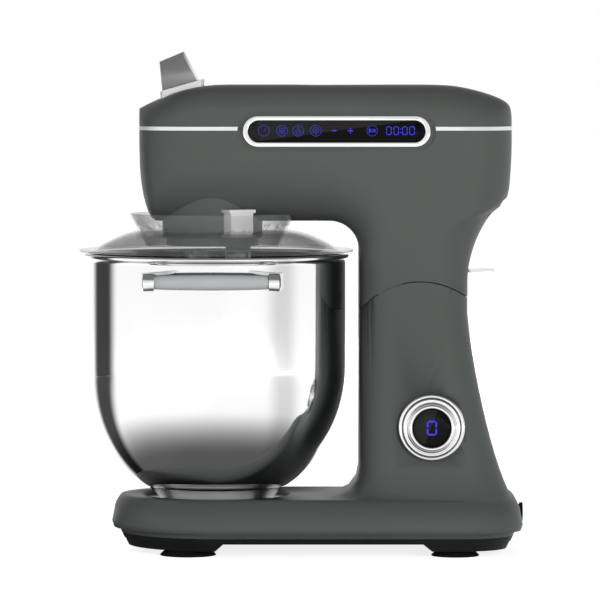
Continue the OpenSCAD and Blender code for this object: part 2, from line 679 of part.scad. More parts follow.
module power_board() color([0.1, 0.35, 0.15]) {
    board_x = (base_rear - base_front) / 2 + 8;
    board_l = 70;
    board_w = 68;
    translate([board_x, 0, tray_floor_z + wall]) {
        for (x = [4, board_l - 4]) for (s = [-1, 1]) translate([x, s * (board_w / 2 - 4), 0]) cylinder(r = 3, h = 5);
        translate([0, -board_w / 2, 5]) cube([board_l, board_w, 1.6]);
        translate([14, -board_w / 4, 6.6]) cube([26, board_w / 2, 12]);
    }
}

module hinge_pin() color([0.7, 0.7, 0.72]) cross_cylinder(hinge_pin_r, pivot_x, 0, pivot_z, 2 * neck_half - 5);

module cord_gland() color([0.08, 0.08, 0.08]) translate([base_rear, gland_y, gland_z]) rotate([0, 90, 0]) difference() {
    union() {
        translate([0, 0, -12]) cylinder(r = gland_r - fit_gap, h = 14);
        translate([0, 0, -12]) cylinder(r = gland_r + 1, h = 12 - wall - 6);
        cylinder(r = gland_r + 1.5, h = 3);
    }
    translate([0, 0, -20]) cylinder(r = cord_bore_r, h = 40);
}

// ---- display, grip ----
window_l = display_l - 9;
window_h = display_h - 8;
module display_bezel() color([0.88, 0.88, 0.89]) difference() {
    union() {
        stadium(display_l, display_h, display_x, display_face_y + 1.2, display_z, 2.4);
        stadium(display_l - 5 - 2 * seat_gap, display_h - 5 - 2 * seat_gap, display_x, display_face_y + 4.4, display_z, 5);
    }
    stadium(window_l, window_h, display_x, display_face_y + 4, display_z, 14);
}

module display_glass() color([0.02, 0.02, 0.03])
    stadium(window_l - seat_gap, window_h - seat_gap, display_x, display_face_y + 1.8, display_z, 2.6);

module display_board() color([0.1, 0.4, 0.2])
    translate([display_x, display_face_y + 3.9, display_z]) cube([window_l - window_h, 1.6, window_h - 4], center = true);

grip_foot = 6.5;         // height of the ribbed collar under the grip
module grip_profile(w) rotate([90, 0, 0]) translate([0, 0, -w / 2]) linear_extrude(w) children();

module lift_grip() color([0.75, 0.75, 0.77]) difference() {
    hull() {
        grip_profile(grip_w - 6) polygon([[-47, crown_z - 8], [-49.5, crown_z + 20], [-28, crown_z + 29], [-13, crown_z + 1]]);
        grip_profile(grip_w) polygon([[-46, crown_z - 8], [-48.5, crown_z + 17], [-28.6, crown_z + 25.5], [-15, crown_z + 1]]);
    }
    grip_seat(grip_foot);
}

// Everything below a plane that follows the slope of the crown under the grip, raised by up
module grip_seat(up) grip_profile(2 * grip_w) polygon([
    [-80, crown_z - 23.5 + up], [-46, crown_z - 11.5 + up], [-11, crown_z - 1.5 + up], [10, crown_z + 2 + up],
    [10, crown_z - 60], [-80, crown_z - 60]]);

module grip_collar() color([0.9, 0.9, 0.9]) difference() {
    hull() {
        grip_profile(grip_w - 2) polygon([[-47.5, crown_z - 30], [-49, crown_z + 5], [-11, crown_z + 5], [-10, crown_z - 30]]);
        grip_profile(grip_w + 3) polygon([[-46, crown_z - 30], [-47.5, crown_z + 5], [-13, crown_z + 5], [-12, crown_z - 30]]);
    }
    difference() {
        translate([0, 0, crown_z + 20]) cube([300, 300, 100], center = true);
        grip_seat(grip_foot);
    }
    for (s = [-1, 1]) for (i = [0:3]) grip_seat_rib(s, i);
    crown_solid(0, 80);
}

// Fine groove along each side of the collar
module grip_seat_rib(s, i) translate([-29, s * (grip_w / 2 + 1.9), crown_z - 3.6 - i * 1.5])
    rotate([0, -17, 0]) cube([60, 1.2, 0.6], center = true);

// ---- frame and gearbox ----
frame_z = head_floor_z + 25;
frame_t = 3;
motor_x = 164;
motor_low_z = head_floor_z - 34;
motor_flange_z = frame_z + frame_t;
motor_top_z = motor_low_z + 76;
arm_dir = [sin(arm_mid), cos(arm_mid)];
arm_side = [cos(arm_mid), -sin(arm_mid)];
arm_reach = seam_r + 15;
arm_foot = [for (s = [-1, 1]) [pivot_x, pivot_z] + arm_reach * arm_dir + s * eye_r * arm_side];
bush_r = hinge_pin_r + 3;

module chassis_frame() color([0.55, 0.56, 0.58]) difference() {
    union() {
        translate([0, 0, frame_z]) linear_extrude(frame_t) polygon(concat(
            [[70, -40], [115, -40], [124, -arm_y - arm_t / 2], [204, -arm_y - arm_t / 2]],
            [[204, arm_y + arm_t / 2], [124, arm_y + arm_t / 2], [115, 40], [70, 40]]));
        for (s = [-1, 1]) translate([0, s * arm_y + arm_t / 2, 0]) rotate([90, 0, 0]) linear_extrude(arm_t) {
            polygon([[pivot_x, pivot_z] - eye_r * arm_side, arm_foot[0], [arm_foot[0][0], frame_z + 1],
                     [arm_foot[1][0], frame_z + 1], arm_foot[1], [pivot_x, pivot_z] + eye_r * arm_side]);
            translate([pivot_x, pivot_z]) circle(r = eye_r);
        }
    }
    cross_cylinder(bush_r + seat_gap / 10, pivot_x, 0, pivot_z, head_w);
    translate([motor_x, 0, frame_z - overrun]) cylinder(r = motor_r + seat_gap, h = 10);
}

module hinge_bushes() color([0.72, 0.55, 0.25]) for (s = [-1, 1]) difference() {
    union() {
        cross_cylinder(bush_r, pivot_x, s * arm_y, pivot_z, arm_t);
        cross_cylinder(bush_r + 2, pivot_x, s * (arm_y - arm_t / 2 - 0.75), pivot_z, 1.5);
    }
    cross_cylinder(hinge_pin_r + fit_gap, pivot_x, s * arm_y, pivot_z, 4 * arm_t);
}

pitch_main = gear_m * main_teeth / 2;
pitch_small = gear_m * small_teeth / 2;
counter_x = hub_x + pitch_main + pitch_small;
planet_offset = gear_m * (ring_teeth - small_teeth) / 2;
ring_low_z = head_floor_z - 5;
ring_h = 13;
floor_z = ring_low_z + ring_h;       // floor of the gearbox
box_t = 4;
flange_z = frame_z + frame_t;        // flange of the gearbox
main_z = flange_z + box_t + 4;
main_h = 10;
cover_z = main_z + main_h + 7;
output_top_z = cover_z + box_t + 3;
bearing_h = 7;
bearing_out = 13;
counter_low_z = flange_z - 9;
pulley_z = cover_z + box_t + 5;
pulley_h = 16;
counter_top_z = pulley_z + pulley_h + 1;
box_front = hub_x - 54;
box_rear = counter_x + 33;
box_half = 43;
post_r = 4;
post_at = [[box_front + 5.4, 16], [box_front + 5.4, -16], [box_rear - 7, 30], [box_rear - 7, -30]];

module gearbox_plate() linear_extrude(box_t)
    polygon([for (p = plan_ring(0, box_front, box_rear, box_half, box_half * 0.8, 3 * box_t)) [p[0], p[1]]]);

module gearbox_housing() color([0.62, 0.63, 0.65]) difference() {
    union() {
        translate([hub_x, 0, floor_z]) cylinder(r = boss_bore_r - seat_gap, h = flange_z - floor_z);
        translate([0, 0, flange_z]) gearbox_plate();
        translate([counter_x, 0, counter_low_z]) cylinder(r = bearing_out + 1, h = flange_z - counter_low_z);
    }
    difference() {
        translate([hub_x, 0, floor_z + box_t]) cylinder(r = boss_bore_r - seat_gap - wall, h = 30);
        translate([hub_x, 0, floor_z]) cylinder(r = bearing_out + 3, h = box_t + bearing_h + 1);
    }
    translate([hub_x, 0, floor_z - overrun]) cylinder(r = output_r + body_gap, h = 30);
    translate([hub_x, 0, floor_z + box_t + 1]) cylinder(r = bearing_out, h = 30);
    translate([counter_x, 0, counter_low_z + 2]) cylinder(r = bearing_out - 2, h = 30);
    translate([counter_x, 0, counter_low_z - overrun]) cylinder(r = counter_r + body_gap, h = 30);
}

module gearbox_cover() color([0.62, 0.63, 0.65]) difference() {
    union() {
        translate([0, 0, cover_z]) gearbox_plate();
        for (p = post_at) translate([p[0], p[1], flange_z + box_t]) cylinder(r = post_r, h = cover_z - flange_z - box_t);
    }
    translate([hub_x, 0, cover_z - overrun]) cylinder(r = bearing_out, h = 10);
    translate([counter_x, 0, cover_z - overrun]) cylinder(r = bearing_out - 2, h = 10);
    for (p = post_at) translate([p[0], p[1], flange_z]) cylinder(r = 1.8, h = 60);
}

module gearbox_screws() color([0.7, 0.7, 0.72]) for (p = post_at) translate([p[0], p[1], cover_z + box_t]) {
    cylinder(r = 3.2, h = 2.4);
    translate([0, 0, flange_z - cover_z]) cylinder(r = 1.7, h = cover_z - flange_z + 0.01);
}

// Ball bearing drawn as one ring
module bearing(r_in, r_out, x, z, h) translate([x, 0, z]) difference() {
    cylinder(r = r_out - 0.02, h = h);
    translate([0, 0, -overrun]) cylinder(r = r_in + fit_gap, h = h + 2 * overrun);
}

module shaft_bearings() color([0.78, 0.78, 0.8]) {
    bearing(output_r, bearing_out, hub_x, floor_z + box_t + 1, bearing_h);
    bearing(output_r, bearing_out, hub_x, cover_z, box_t);
    bearing(counter_r, bearing_out - 2, counter_x, counter_low_z + 2, bearing_h);
    bearing(counter_r, bearing_out - 2, counter_x, cover_z, box_t);
}

// ---- gears: involute flanks, pressure angle 20 degrees ----
pressure = 20;
function involute(a) = tan(a) * 180 / PI - a;
module gear_outline(teeth, addendum, dedendum, thin) {
    pitch = gear_m * teeth / 2;
    base = pitch * cos(pressure);
    tip = pitch + addendum * gear_m;
    root = pitch - dedendum * gear_m;
    radii = [root, max(root, base) * 0.5 + pitch * 0.5, (pitch + tip) / 2, tip];
    function half(r) = 90 / teeth - 90 * thin / (PI * pitch) + involute(pressure) - involute(acos(base / max(r, base)));
    polygon([for (t = [0:teeth - 1]) each concat(
        [for (i = [0:3]) radii[i] * [cos(360 * t / teeth - half(radii[i])), sin(360 * t / teeth - half(radii[i]))]],
        [for (i = [3:-1:0]) radii[i] * [cos(360 * t / teeth + half(radii[i])), sin(360 * t / teeth + half(radii[i]))]])]);
}
backlash = 0.2;

module ring_gear() color([0.6, 0.6, 0.62]) translate([hub_x, 0, ring_low_z]) linear_extrude(ring_h) difference() {
    circle(r = boss_bore_r - seat_gap);
    gear_outline(ring_teeth, 1.25, 0.95, -backlash);
}

module main_gear() color([0.9, 0.88, 0.8]) translate([hub_x, 0, main_z]) difference() {
    linear_extrude(main_h) gear_outline(main_teeth, 0.95, 1.25, backlash);
    translate([0, 0, -overrun]) cylinder(r = output_r + 0.02, h = main_h + 2 * overrun);
    for (i = [0:5]) rotate(60 * i) translate([pitch_main * 0.6, 0, -overrun]) cylinder(r = 8, h = main_h + 2 * overrun);
}

module output_shaft() color([0.7, 0.7, 0.72])
    translate([hub_x, 0, hub_low_z + 1]) cylinder(r = output_r, h = output_top_z - hub_low_z - 1);

hub_low_z = boss_low_z - 7;
hub_h = 14;
beater_low_z = foot_top_z + bowl_t + 6;
agitator_low_z = head_floor_z - 54;
agitator_x = hub_x + planet_offset;
sleeve_top_z = hub_low_z - 6;

module planet_hub() color([0.66, 0.67, 0.69]) difference() {
    union() {
        translate([hub_x, 0, hub_low_z]) cylinder(r = boss_bore_r - body_gap, h = hub_h);
        translate([agitator_x, 0, hub_low_z - 4]) cylinder(r = agitator_r + 5, h = 5);
    }
    translate([hub_x, 0, hub_low_z + 1]) cylinder(r = output_r + 0.02, h = hub_h);
    translate([agitator_x, 0, hub_low_z - 10]) cylinder(r = agitator_r + fit_gap, h = hub_h + 20);
    for (a = [90:60:270]) translate([hub_x + 27 * cos(a), 27 * sin(a), hub_low_z + 4]) cylinder(r = 8, h = hub_h);
}

module planet_pinion() color([0.6, 0.6, 0.62]) translate([agitator_x, 0, ring_low_z + 1]) difference() {
    linear_extrude(10) gear_outline(small_teeth, 0.95, 1.25, backlash);
    translate([0, 0, -overrun]) cylinder(r = agitator_r + 0.02, h = 20);
}

drive_pin_r = 2;
drive_pin_z = sleeve_top_z - 9;
module agitator_shaft() color([0.72, 0.72, 0.74]) difference() {
    translate([agitator_x, 0, agitator_low_z + 1]) cylinder(r = agitator_r, h = ring_low_z + 11.5 - agitator_low_z - 1);
    cross_cylinder(drive_pin_r + fit_gap, agitator_x, 0, drive_pin_z, 3 * agitator_r);
}

module drive_pin() color([0.65, 0.65, 0.67])
    cross_cylinder(drive_pin_r, agitator_x, 0, drive_pin_z, 2 * agitator_r + 9);

beater_t = 7;
beater_margin = 5;       // clearance of the beater from the bowl over its whole sweep
beater_top_z = head_floor_z - 88;
beater_max = 56;
function beater_half(z) = min(beater_max, bowl_at(z) - bowl_t - planet_offset + hub_x - beater_margin);
module beater_outline() {
    rows = 9;
    zs = [for (i = [0:rows]) beater_low_z + (beater_top_z - beater_low_z) * pow(i / rows, 1.6)];
    polygon(concat([for (z = zs) [beater_half(z), z]],
                   [[11, agitator_low_z], [-11, agitator_low_z]],
                   [for (i = [rows:-1:0]) [-beater_half(zs[i]), zs[i]]]));
}
module flat_beater() color([0.8, 0.8, 0.81]) translate([agitator_x, 0, 0]) difference() {
    union() {
        translate([0, beater_t / 2, 0]) rotate([90, 0, 0]) linear_extrude(beater_t) {
            difference() {
                beater_outline();
                offset(delta = -9) beater_outline();
            }
            intersection() {
                beater_outline();
                union() {
                    translate([-4, beater_low_z]) square([8, agitator_low_z - beater_low_z]);
                    for (s = [-1, 1]) translate([0, beater_low_z + 22]) rotate(s * 38) translate([-3.5, 0]) square([7, 120]);
                }
            }
        }
        translate([0, 0, agitator_low_z - 2]) cylinder(r = 11, h = sleeve_top_z - agitator_low_z + 2);
    }
    translate([0, 0, agitator_low_z]) cylinder(r = agitator_r + 0.02, h = 60);
    cross_cylinder(drive_pin_r + fit_gap, 0, 0, drive_pin_z, 40);
}

module countershaft() color([0.7, 0.7, 0.72])
    translate([counter_x, 0, counter_low_z + 1]) cylinder(r = counter_r, h = counter_top_z - counter_low_z - 1);

module counter_pinion() color([0.6, 0.6, 0.62]) translate([counter_x, 0, main_z - 1]) difference() {
    rotate(180 / small_teeth) linear_extrude(main_h + 2) gear_outline(small_teeth, 0.95, 1.25, backlash);
    translate([0, 0, -overrun]) cylinder(r = counter_r + 0.02, h = main_h + 10);
}

// Ribbed belt pulley on a shaft
belt_h = 8;
module pulley(r, shaft_r, x) translate([x, 0, pulley_z]) difference() {
    rotate_extrude() polygon(concat(
        [[0, 0], [r + 2, 0], [r + 2, 2]],
        [for (i = [0:7]) [r - (i % 2) * 1, (pulley_h - belt_h) / 2 + belt_h * i / 7]],
        [[r + 2, pulley_h - 2], [r + 2, pulley_h], [0, pulley_h]]));
    translate([0, 0, -overrun]) cylinder(r = shaft_r + 0.02, h = pulley_h + 2 * overrun);
}

module large_pulley() color([0.25, 0.25, 0.26]) difference() {
    pulley(big_pulley_r, counter_r, counter_x);
    for (i = [0:5]) translate([counter_x, 0, pulley_z - overrun]) rotate(60 * i)
        translate([big_pulley_r * 0.57, 0, 0]) cylinder(r = 9, h = 60);
}

module motor_pulley() color([0.7, 0.7, 0.72]) pulley(small_pulley_r, motor_shaft_r, motor_x);

module drive_belt() color([0.1, 0.1, 0.1])
    translate([0, 0, pulley_z + (pulley_h - belt_h) / 2]) linear_extrude(belt_h) difference() {
        belt_loop(0.4 + 2.2);
        belt_loop(0.4);
    }

module belt_loop(out) hull() {
    translate([counter_x, 0]) circle(r = big_pulley_r + out, $fn = 64);
    translate([motor_x, 0]) circle(r = small_pulley_r + out, $fn = 64);
}

// ---- motor ----
motor_wall = 2;
module motor_housing() color([0.7, 0.71, 0.73]) difference() {
    union() {
        translate([motor_x, 0, motor_low_z]) cylinder(r = motor_r, h = motor_top_z - motor_low_z);
        translate([motor_x, 0, motor_flange_z]) cylinder(r = motor_r + 6, h = 3);
    }
    translate([motor_x, 0, motor_low_z + 3]) cylinder(r = motor_r - motor_wall, h = motor_top_z - motor_low_z - 6);
    translate([motor_x, 0, motor_low_z - overrun]) cylinder(r = motor_shaft_r + fit_gap, h = 100);
    for (i = [0:5]) translate([motor_x, 0, motor_top_z]) rotate(60 * i + 30) translate([motor_r * 0.6, 0, 0])
        cylinder(r = 5, h = 20, center = true);
    for (i = [0:7]) translate([motor_x, 0, motor_low_z + 12]) rotate(45 * i) translate([motor_r, 0, 0])
        cube([12, 8, 10], center = true);
}

module motor_stator() color([0.6, 0.4, 0.2]) translate([motor_x, 0, motor_low_z + 22]) difference() {
    cylinder(r = motor_r - motor_wall - 0.02, h = 36);
    translate([0, 0, -overrun]) cylinder(r = motor_r * 0.6, h = 60);
}

module rotor_core() color([0.5, 0.5, 0.52]) translate([motor_x, 0, motor_low_z + 20]) difference() {
    cylinder(r = motor_r * 0.6 - body_gap, h = 40);
    translate([0, 0, -overrun]) cylinder(r = motor_shaft_r + 0.02, h = 60);
}

module rotor_shaft() color([0.72, 0.72, 0.74])
    translate([motor_x, 0, motor_low_z - 2]) cylinder(r = motor_shaft_r, h = pulley_z + pulley_h + 1 - motor_low_z + 2);

fan_z = motor_top_z + 3;
module cooling_fan() color([0.15, 0.15, 0.16]) translate([motor_x, 0, fan_z]) difference() {
    union() {
        cylinder(r = 9, h = 8);
        cylinder(r = motor_r - 5, h = 1.2);
        for (i = [0:8]) rotate(40 * i) translate([7, -0.6, 0]) cube([motor_r - 12.5, 1.2, 8]);
    }
    translate([0, 0, -overrun]) cylinder(r = motor_shaft_r + 0.02, h = 20);
}

// ---- rear of the neck: vent, lever and lock bolt ----
module rear_vent() color([0.05, 0.05, 0.05]) intersection() {
    rear_vent_block(vent_w, 26, 3);
    union() {
        lower_solid(0, 0);
        neck_solid(0, pivot_z + 30, neck_top_z);
    }
}

barrel_r = 4;
module release_lever() color([0.86, 0.86, 0.87]) difference() {
    union() {
        translate([lever_x, -lever_w / 2, lever_z - lever_t / 2]) cube([neck_rear + 24 - lever_x, lever_w, lever_t]);
        translate([neck_rear + 22, -lever_w / 2, lever_z - 5]) cube([2, lever_w, 5]);
        cross_cylinder(barrel_r, lever_x, -lever_w / 4 + 1, lever_z, lever_w / 2);
        translate([bolt_top_x, -2.5, lever_z - lever_t / 2]) cube([lever_x - bolt_top_x, 5, lever_t]);
    }
    cross_cylinder(lever_pin_r + fit_gap, lever_x, 0, lever_z, 2 * lever_w);
    translate([lever_x, lever_w / 4 + 1.5, lever_z]) cube([12, lever_w / 2 - 1, 12], center = true);
}

module lever_pin() color([0.7, 0.7, 0.72]) cross_cylinder(lever_pin_r, lever_x, 0, lever_z, lever_w + 9);

module lever_spring() color([0.65, 0.65, 0.67]) translate([lever_x, lever_w / 2 - 1.2, lever_z]) rotate([90, 0, 0])
    difference() {
        rotate_extrude() polygon(concat([[0, 0]],
            [for (i = [0:12]) [barrel_r - 0.5 - 0.5 * (i % 2), 9 * i / 12]], [[0, 9]]));
        translate([0, 0, -overrun]) cylinder(r = lever_pin_r + 0.02, h = 20);
    }

bolt_top_r = (lever_z - pivot_z) / cos(bolt_a) + 5;
bolt_top_x = pivot_x + (lever_z - pivot_z) * tan(bolt_a) + 0.8;
module lock_bolt() color([0.68, 0.68, 0.7]) difference() {
    from_pivot(bolt_a) translate([0, 0, seam_r - bolt_bite]) cylinder(r = bolt_r, h = bolt_top_r - seam_r + bolt_bite);
    translate([bolt_top_x - 2 * body_gap, -bolt_r - 1, lever_z - lever_t / 2 - 1.7]) cube([20, 20, lever_t + 3.4]);
}

base_casing();
bottom_tray();
tray_screws();
feet();
bowl_seat();
seat_screws();
knob_bezel();
knob_lens();
speed_encoder();
control_board();
power_board();
hinge_pin();
cord_gland();
head_top_cover();
head_lower_casing();
trim_strip();
display_bezel();
display_glass();
display_board();
lift_grip();
grip_collar();
chassis_frame();
hinge_bushes();
gearbox_housing();
gearbox_cover();
gearbox_screws();
ring_gear();
shaft_bearings();
motor_housing();
motor_stator();
drive_belt();
rear_vent();
lever_pin();
lever_spring();
splash_guard();
guard_clips();
planet_hub();
output_shaft();
main_gear();
planet_pinion();
agitator_shaft();
drive_pin();
flat_beater();
countershaft();
counter_pinion();
large_pulley();
rotor_core();
rotor_shaft();
motor_pulley();
cooling_fan();
knob_ring();
release_lever();
lock_bolt();
bowl();
bowl_foot();
handle_brackets();
handle_grip();
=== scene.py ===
import math
import bpy
from mathutils import Matrix, Vector


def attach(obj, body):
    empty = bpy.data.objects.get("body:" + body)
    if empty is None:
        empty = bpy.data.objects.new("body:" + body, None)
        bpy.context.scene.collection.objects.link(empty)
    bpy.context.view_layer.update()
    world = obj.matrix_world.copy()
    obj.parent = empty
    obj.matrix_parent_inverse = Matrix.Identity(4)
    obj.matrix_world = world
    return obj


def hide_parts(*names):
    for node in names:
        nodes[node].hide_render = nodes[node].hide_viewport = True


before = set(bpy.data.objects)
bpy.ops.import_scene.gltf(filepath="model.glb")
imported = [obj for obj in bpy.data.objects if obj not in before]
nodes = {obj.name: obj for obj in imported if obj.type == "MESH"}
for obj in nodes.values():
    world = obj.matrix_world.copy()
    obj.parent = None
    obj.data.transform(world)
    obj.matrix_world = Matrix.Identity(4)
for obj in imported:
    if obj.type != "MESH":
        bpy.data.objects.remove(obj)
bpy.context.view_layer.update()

bpy.ops.object.select_all(action="DESELECT")

# ---- Base casing ----
# The base and its column are one pressure die casting in aluminium, coated in a satin dark
# green-grey paint. The coat lies smooth over the casting with a faint orange peel.
def painted_casting(name, lit, shade, rough):
    m = bpy.data.materials.new(name)
    m.use_nodes = True
    t = m.node_tree
    p = t.nodes["Principled BSDF"]
    place = t.nodes.new("ShaderNodeTexCoord")
    cloud = t.nodes.new("ShaderNodeTexNoise")
    cloud.inputs["Scale"].default_value = 7.0
    cloud.inputs["Detail"].default_value = 3.0
    t.links.new(place.outputs["Object"], cloud.inputs["Vector"])
    tint = t.nodes.new("ShaderNodeValToRGB")
    tint.color_ramp.elements[0].position, tint.color_ramp.elements[0].color = 0.35, (*shade, 1)
    tint.color_ramp.elements[1].position, tint.color_ramp.elements[1].color = 0.65, (*lit, 1)
    t.links.new(cloud.outputs["Fac"], tint.inputs["Fac"])
    t.links.new(tint.outputs["Color"], p.inputs["Base Color"])
    spread = t.nodes.new("ShaderNodeMapRange")
    spread.inputs["To Min"].default_value = rough - 0.03
    spread.inputs["To Max"].default_value = rough + 0.04
    t.links.new(cloud.outputs["Fac"], spread.inputs["Value"])
    t.links.new(spread.outputs["Result"], p.inputs["Roughness"])
    peel = t.nodes.new("ShaderNodeTexNoise")
    peel.inputs["Scale"].default_value = 700.0
    peel.inputs["Detail"].default_value = 2.0
    t.links.new(place.outputs["Object"], peel.inputs["Vector"])
    bump = t.nodes.new("ShaderNodeBump")
    bump.inputs["Strength"].default_value = 0.05
    bump.inputs["Distance"].default_value = 0.0002
    t.links.new(peel.outputs["Fac"], bump.inputs["Height"])
    t.links.new(bump.outputs["Normal"], p.inputs["Normal"])
    p.inputs["Specular IOR Level"].default_value = 0.16
    return m


def skin_over(node, body, finish, angle=32, edge=0.0):
    """A node's own surface with its facets run together and, where asked, its edges rounded."""
    skin = nodes[node].copy()
    skin.data = nodes[node].data.copy()
    skin.name = node + "_skin"
    skin.parent = None
    for key in list(skin.keys()):
        del skin[key]
    bpy.context.scene.collection.objects.link(skin)
    bpy.ops.object.select_all(action="DESELECT")
    skin.select_set(True)
    bpy.context.view_layer.objects.active = skin
    bpy.ops.object.mode_set(mode="EDIT")
    bpy.ops.mesh.select_all(action="SELECT")
    bpy.ops.mesh.remove_doubles(threshold=1e-6)
    if edge:
        bpy.ops.mesh.dissolve_limited(angle_limit=math.radians(1.5))
    bpy.ops.object.mode_set(mode="OBJECT")
    if edge:
        m = skin.modifiers.new("edges", "BEVEL")
        m.width, m.segments, m.limit_method, m.angle_limit = edge, 2, "ANGLE", math.radians(40)
        m.use_clamp_overlap = True
        bpy.ops.object.modifier_apply(modifier=m.name)
    bpy.ops.object.shade_smooth_by_angle(angle=math.radians(angle))
    skin.data.materials.clear()
    skin.data.materials.append(finish)
    skin.select_set(False)
    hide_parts(node)
    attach(skin, body)
    return skin


paint = painted_casting("satin_green_grey_paint", (0.098, 0.108, 0.102), (0.091, 0.101, 0.095), 0.42)
skin_over("base_casing", "base", paint)

# ---- Bottom tray, feet and cord gland ----
# The underside is closed by a moulded tray in fine-grained black plastic, held by six screws.
# Four flared rubber feet are pressed into it, and a rubber gland lines the cord's hole.
def grained(name, colour, light, rough, grain, depth, metal=0.0, specular=0.5):
    m = bpy.data.materials.new(name)
    m.use_nodes = True
    t = m.node_tree
    p = t.nodes["Principled BSDF"]
    place = t.nodes.new("ShaderNodeTexCoord")
    fine = t.nodes.new("ShaderNodeTexNoise")
    fine.inputs["Scale"].default_value = grain
    fine.inputs["Detail"].default_value = 3.0
    t.links.new(place.outputs["Object"], fine.inputs["Vector"])
    wide = t.nodes.new("ShaderNodeTexNoise")
    wide.inputs["Scale"].default_value = 14.0
    t.links.new(place.outputs["Object"], wide.inputs["Vector"])
    tint = t.nodes.new("ShaderNodeValToRGB")
    tint.color_ramp.elements[0].position, tint.color_ramp.elements[0].color = 0.3, (*colour, 1)
    tint.color_ramp.elements[1].position, tint.color_ramp.elements[1].color = 0.7, (*light, 1)
    t.links.new(wide.outputs["Fac"], tint.inputs["Fac"])
    t.links.new(tint.outputs["Color"], p.inputs["Base Color"])
    spread = t.nodes.new("ShaderNodeMapRange")
    spread.inputs["To Min"].default_value = max(0.02, rough - 0.05)
    spread.inputs["To Max"].default_value = rough + 0.07
    t.links.new(fine.outputs["Fac"], spread.inputs["Value"])
    t.links.new(spread.outputs["Result"], p.inputs["Roughness"])
    bump = t.nodes.new("ShaderNodeBump")
    bump.inputs["Strength"].default_value = depth
    bump.inputs["Distance"].default_value = 0.0003
    t.links.new(fine.outputs["Fac"], bump.inputs["Height"])
    t.links.new(bump.outputs["Normal"], p.inputs["Normal"])
    p.inputs["Metallic"].default_value = metal
    p.inputs["Specular IOR Level"].default_value = specular
    return m


def turned(name, body, finish, outline, centre=(0, 0, 0), facing="up", steps=128, angle=35):
    """A closed outline of (radius, height) in mm, spun about its axis, which faces up, front or side."""
    bpy.ops.object.select_all(action="DESELECT")
    bpy.ops.mesh.primitive_circle_add(vertices=len(outline), radius=1)
    piece = bpy.context.object
    piece.name = name
    for v, (r, h) in zip(piece.data.vertices, outline):
        v.co = (r * 0.001, 0, h * 0.001)
    bpy.ops.object.mode_set(mode="EDIT")
    bpy.ops.mesh.select_all(action="SELECT")
    bpy.ops.mesh.spin(steps=steps, angle=2 * math.pi, center=(0, 0, 0), axis=(0, 0, 1))
    bpy.ops.mesh.select_all(action="SELECT")
    bpy.ops.mesh.remove_doubles(threshold=2e-6)
    bpy.ops.mesh.delete_loose(use_verts=True, use_edges=True, use_faces=False)
    bpy.ops.mesh.select_all(action="SELECT")
    bpy.ops.mesh.normals_make_consistent(inside=False)
    bpy.ops.object.mode_set(mode="OBJECT")
    if facing == "front":
        piece.data.transform(Matrix.Rotation(math.pi / 2, 4, "X"))
    if facing == "side":
        piece.data.transform(Matrix.Rotation(math.pi / 2, 4, "Y"))
    piece.data.transform(Matrix.Translation(Vector(centre) * 0.001))
    bpy.ops.object.shade_smooth_by_angle(angle=math.radians(angle))
    piece.data.materials.append(finish)
    piece.select_set(False)
    if body:
        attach(piece, body)
    return piece


tray_black = grained("tray_black_plastic", (0.012, 0.014, 0.013), (0.017, 0.019, 0.018), 0.5, 2600, 0.12, specular=0.1)
foot_rubber = grained("foot_rubber", (0.008, 0.008, 0.008), (0.013, 0.013, 0.013), 0.75, 1800, 0.15, specular=0.08)
screw_steel = grained("zinc_plated_steel", (0.42, 0.42, 0.43), (0.5, 0.5, 0.51), 0.3, 900, 0.04, metal=1.0)
skin_over("bottom_tray", "base", tray_black, edge=0.0003)
skin_over("tray_screws", "base", screw_steel, edge=0.0003)
skin_over("cord_gland", "base", foot_rubber, edge=0.0005)
feet = []
for x, y, r in ((-24, 55, 24.5), (-24, -55, 24.5), (208.5, 60, 21), (208.5, -60, 21)):
    feet.append(turned("foot", "base", foot_rubber, [
        (0.5, 0.9), (r - 8, 0.9), (r - 6.4, 0.05), (r - 0.5, 0), (r, 0.5), (r - 0.7, 1.4), (r - 1.5, 1.6),
        (r - 1.6, 2.4), (r - 2.6, 2.7), (r - 2.8, 3.5), (r - 4.0, 3.9), (r - 4.3, 5.4), (0.5, 5.4)], (x, y, 0), steps=72))
for f in feet:
    f.name = "foot_%d" % (feet.index(f) + 1)
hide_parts("feet")

# ---- Bowl seat ----
# The bowl locks with a bayonet onto a turned steel seat, screwed into the recess of the base.
skin_over("bowl_seat", "base", screw_steel, edge=0.0003)
skin_over("seat_screws", "base", screw_steel, edge=0.0002)

# ---- Speed knob ----
# A polished bezel is set into the column. The plated ring inside it turns round a fixed black
# glass, and a blue lamp behind the glass shows the speed.
def bright_plate(name, tone, low, high):
    m = bpy.data.materials.new(name)
    m.use_nodes = True
    t = m.node_tree
    p = t.nodes["Principled BSDF"]
    place = t.nodes.new("ShaderNodeTexCoord")
    haze = t.nodes.new("ShaderNodeTexNoise")
    haze.inputs["Scale"].default_value = 35.0
    haze.inputs["Detail"].default_value = 4.0
    t.links.new(place.outputs["Object"], haze.inputs["Vector"])
    spread = t.nodes.new("ShaderNodeMapRange")
    spread.inputs["From Min"].default_value = 0.3
    spread.inputs["From Max"].default_value = 0.7
    spread.inputs["To Min"].default_value = low
    spread.inputs["To Max"].default_value = high
    t.links.new(haze.outputs["Fac"], spread.inputs["Value"])
    t.links.new(spread.outputs["Result"], p.inputs["Roughness"])
    tint = t.nodes.new("ShaderNodeValToRGB")
    tint.color_ramp.elements[0].color = (tone * 0.95, tone * 0.95, tone * 0.96, 1)
    tint.color_ramp.elements[1].color = (tone, tone, tone, 1)
    t.links.new(haze.outputs["Fac"], tint.inputs["Fac"])
    t.links.new(tint.outputs["Color"], p.inputs["Base Color"])
    p.inputs["Metallic"].default_value = 1.0
    return m


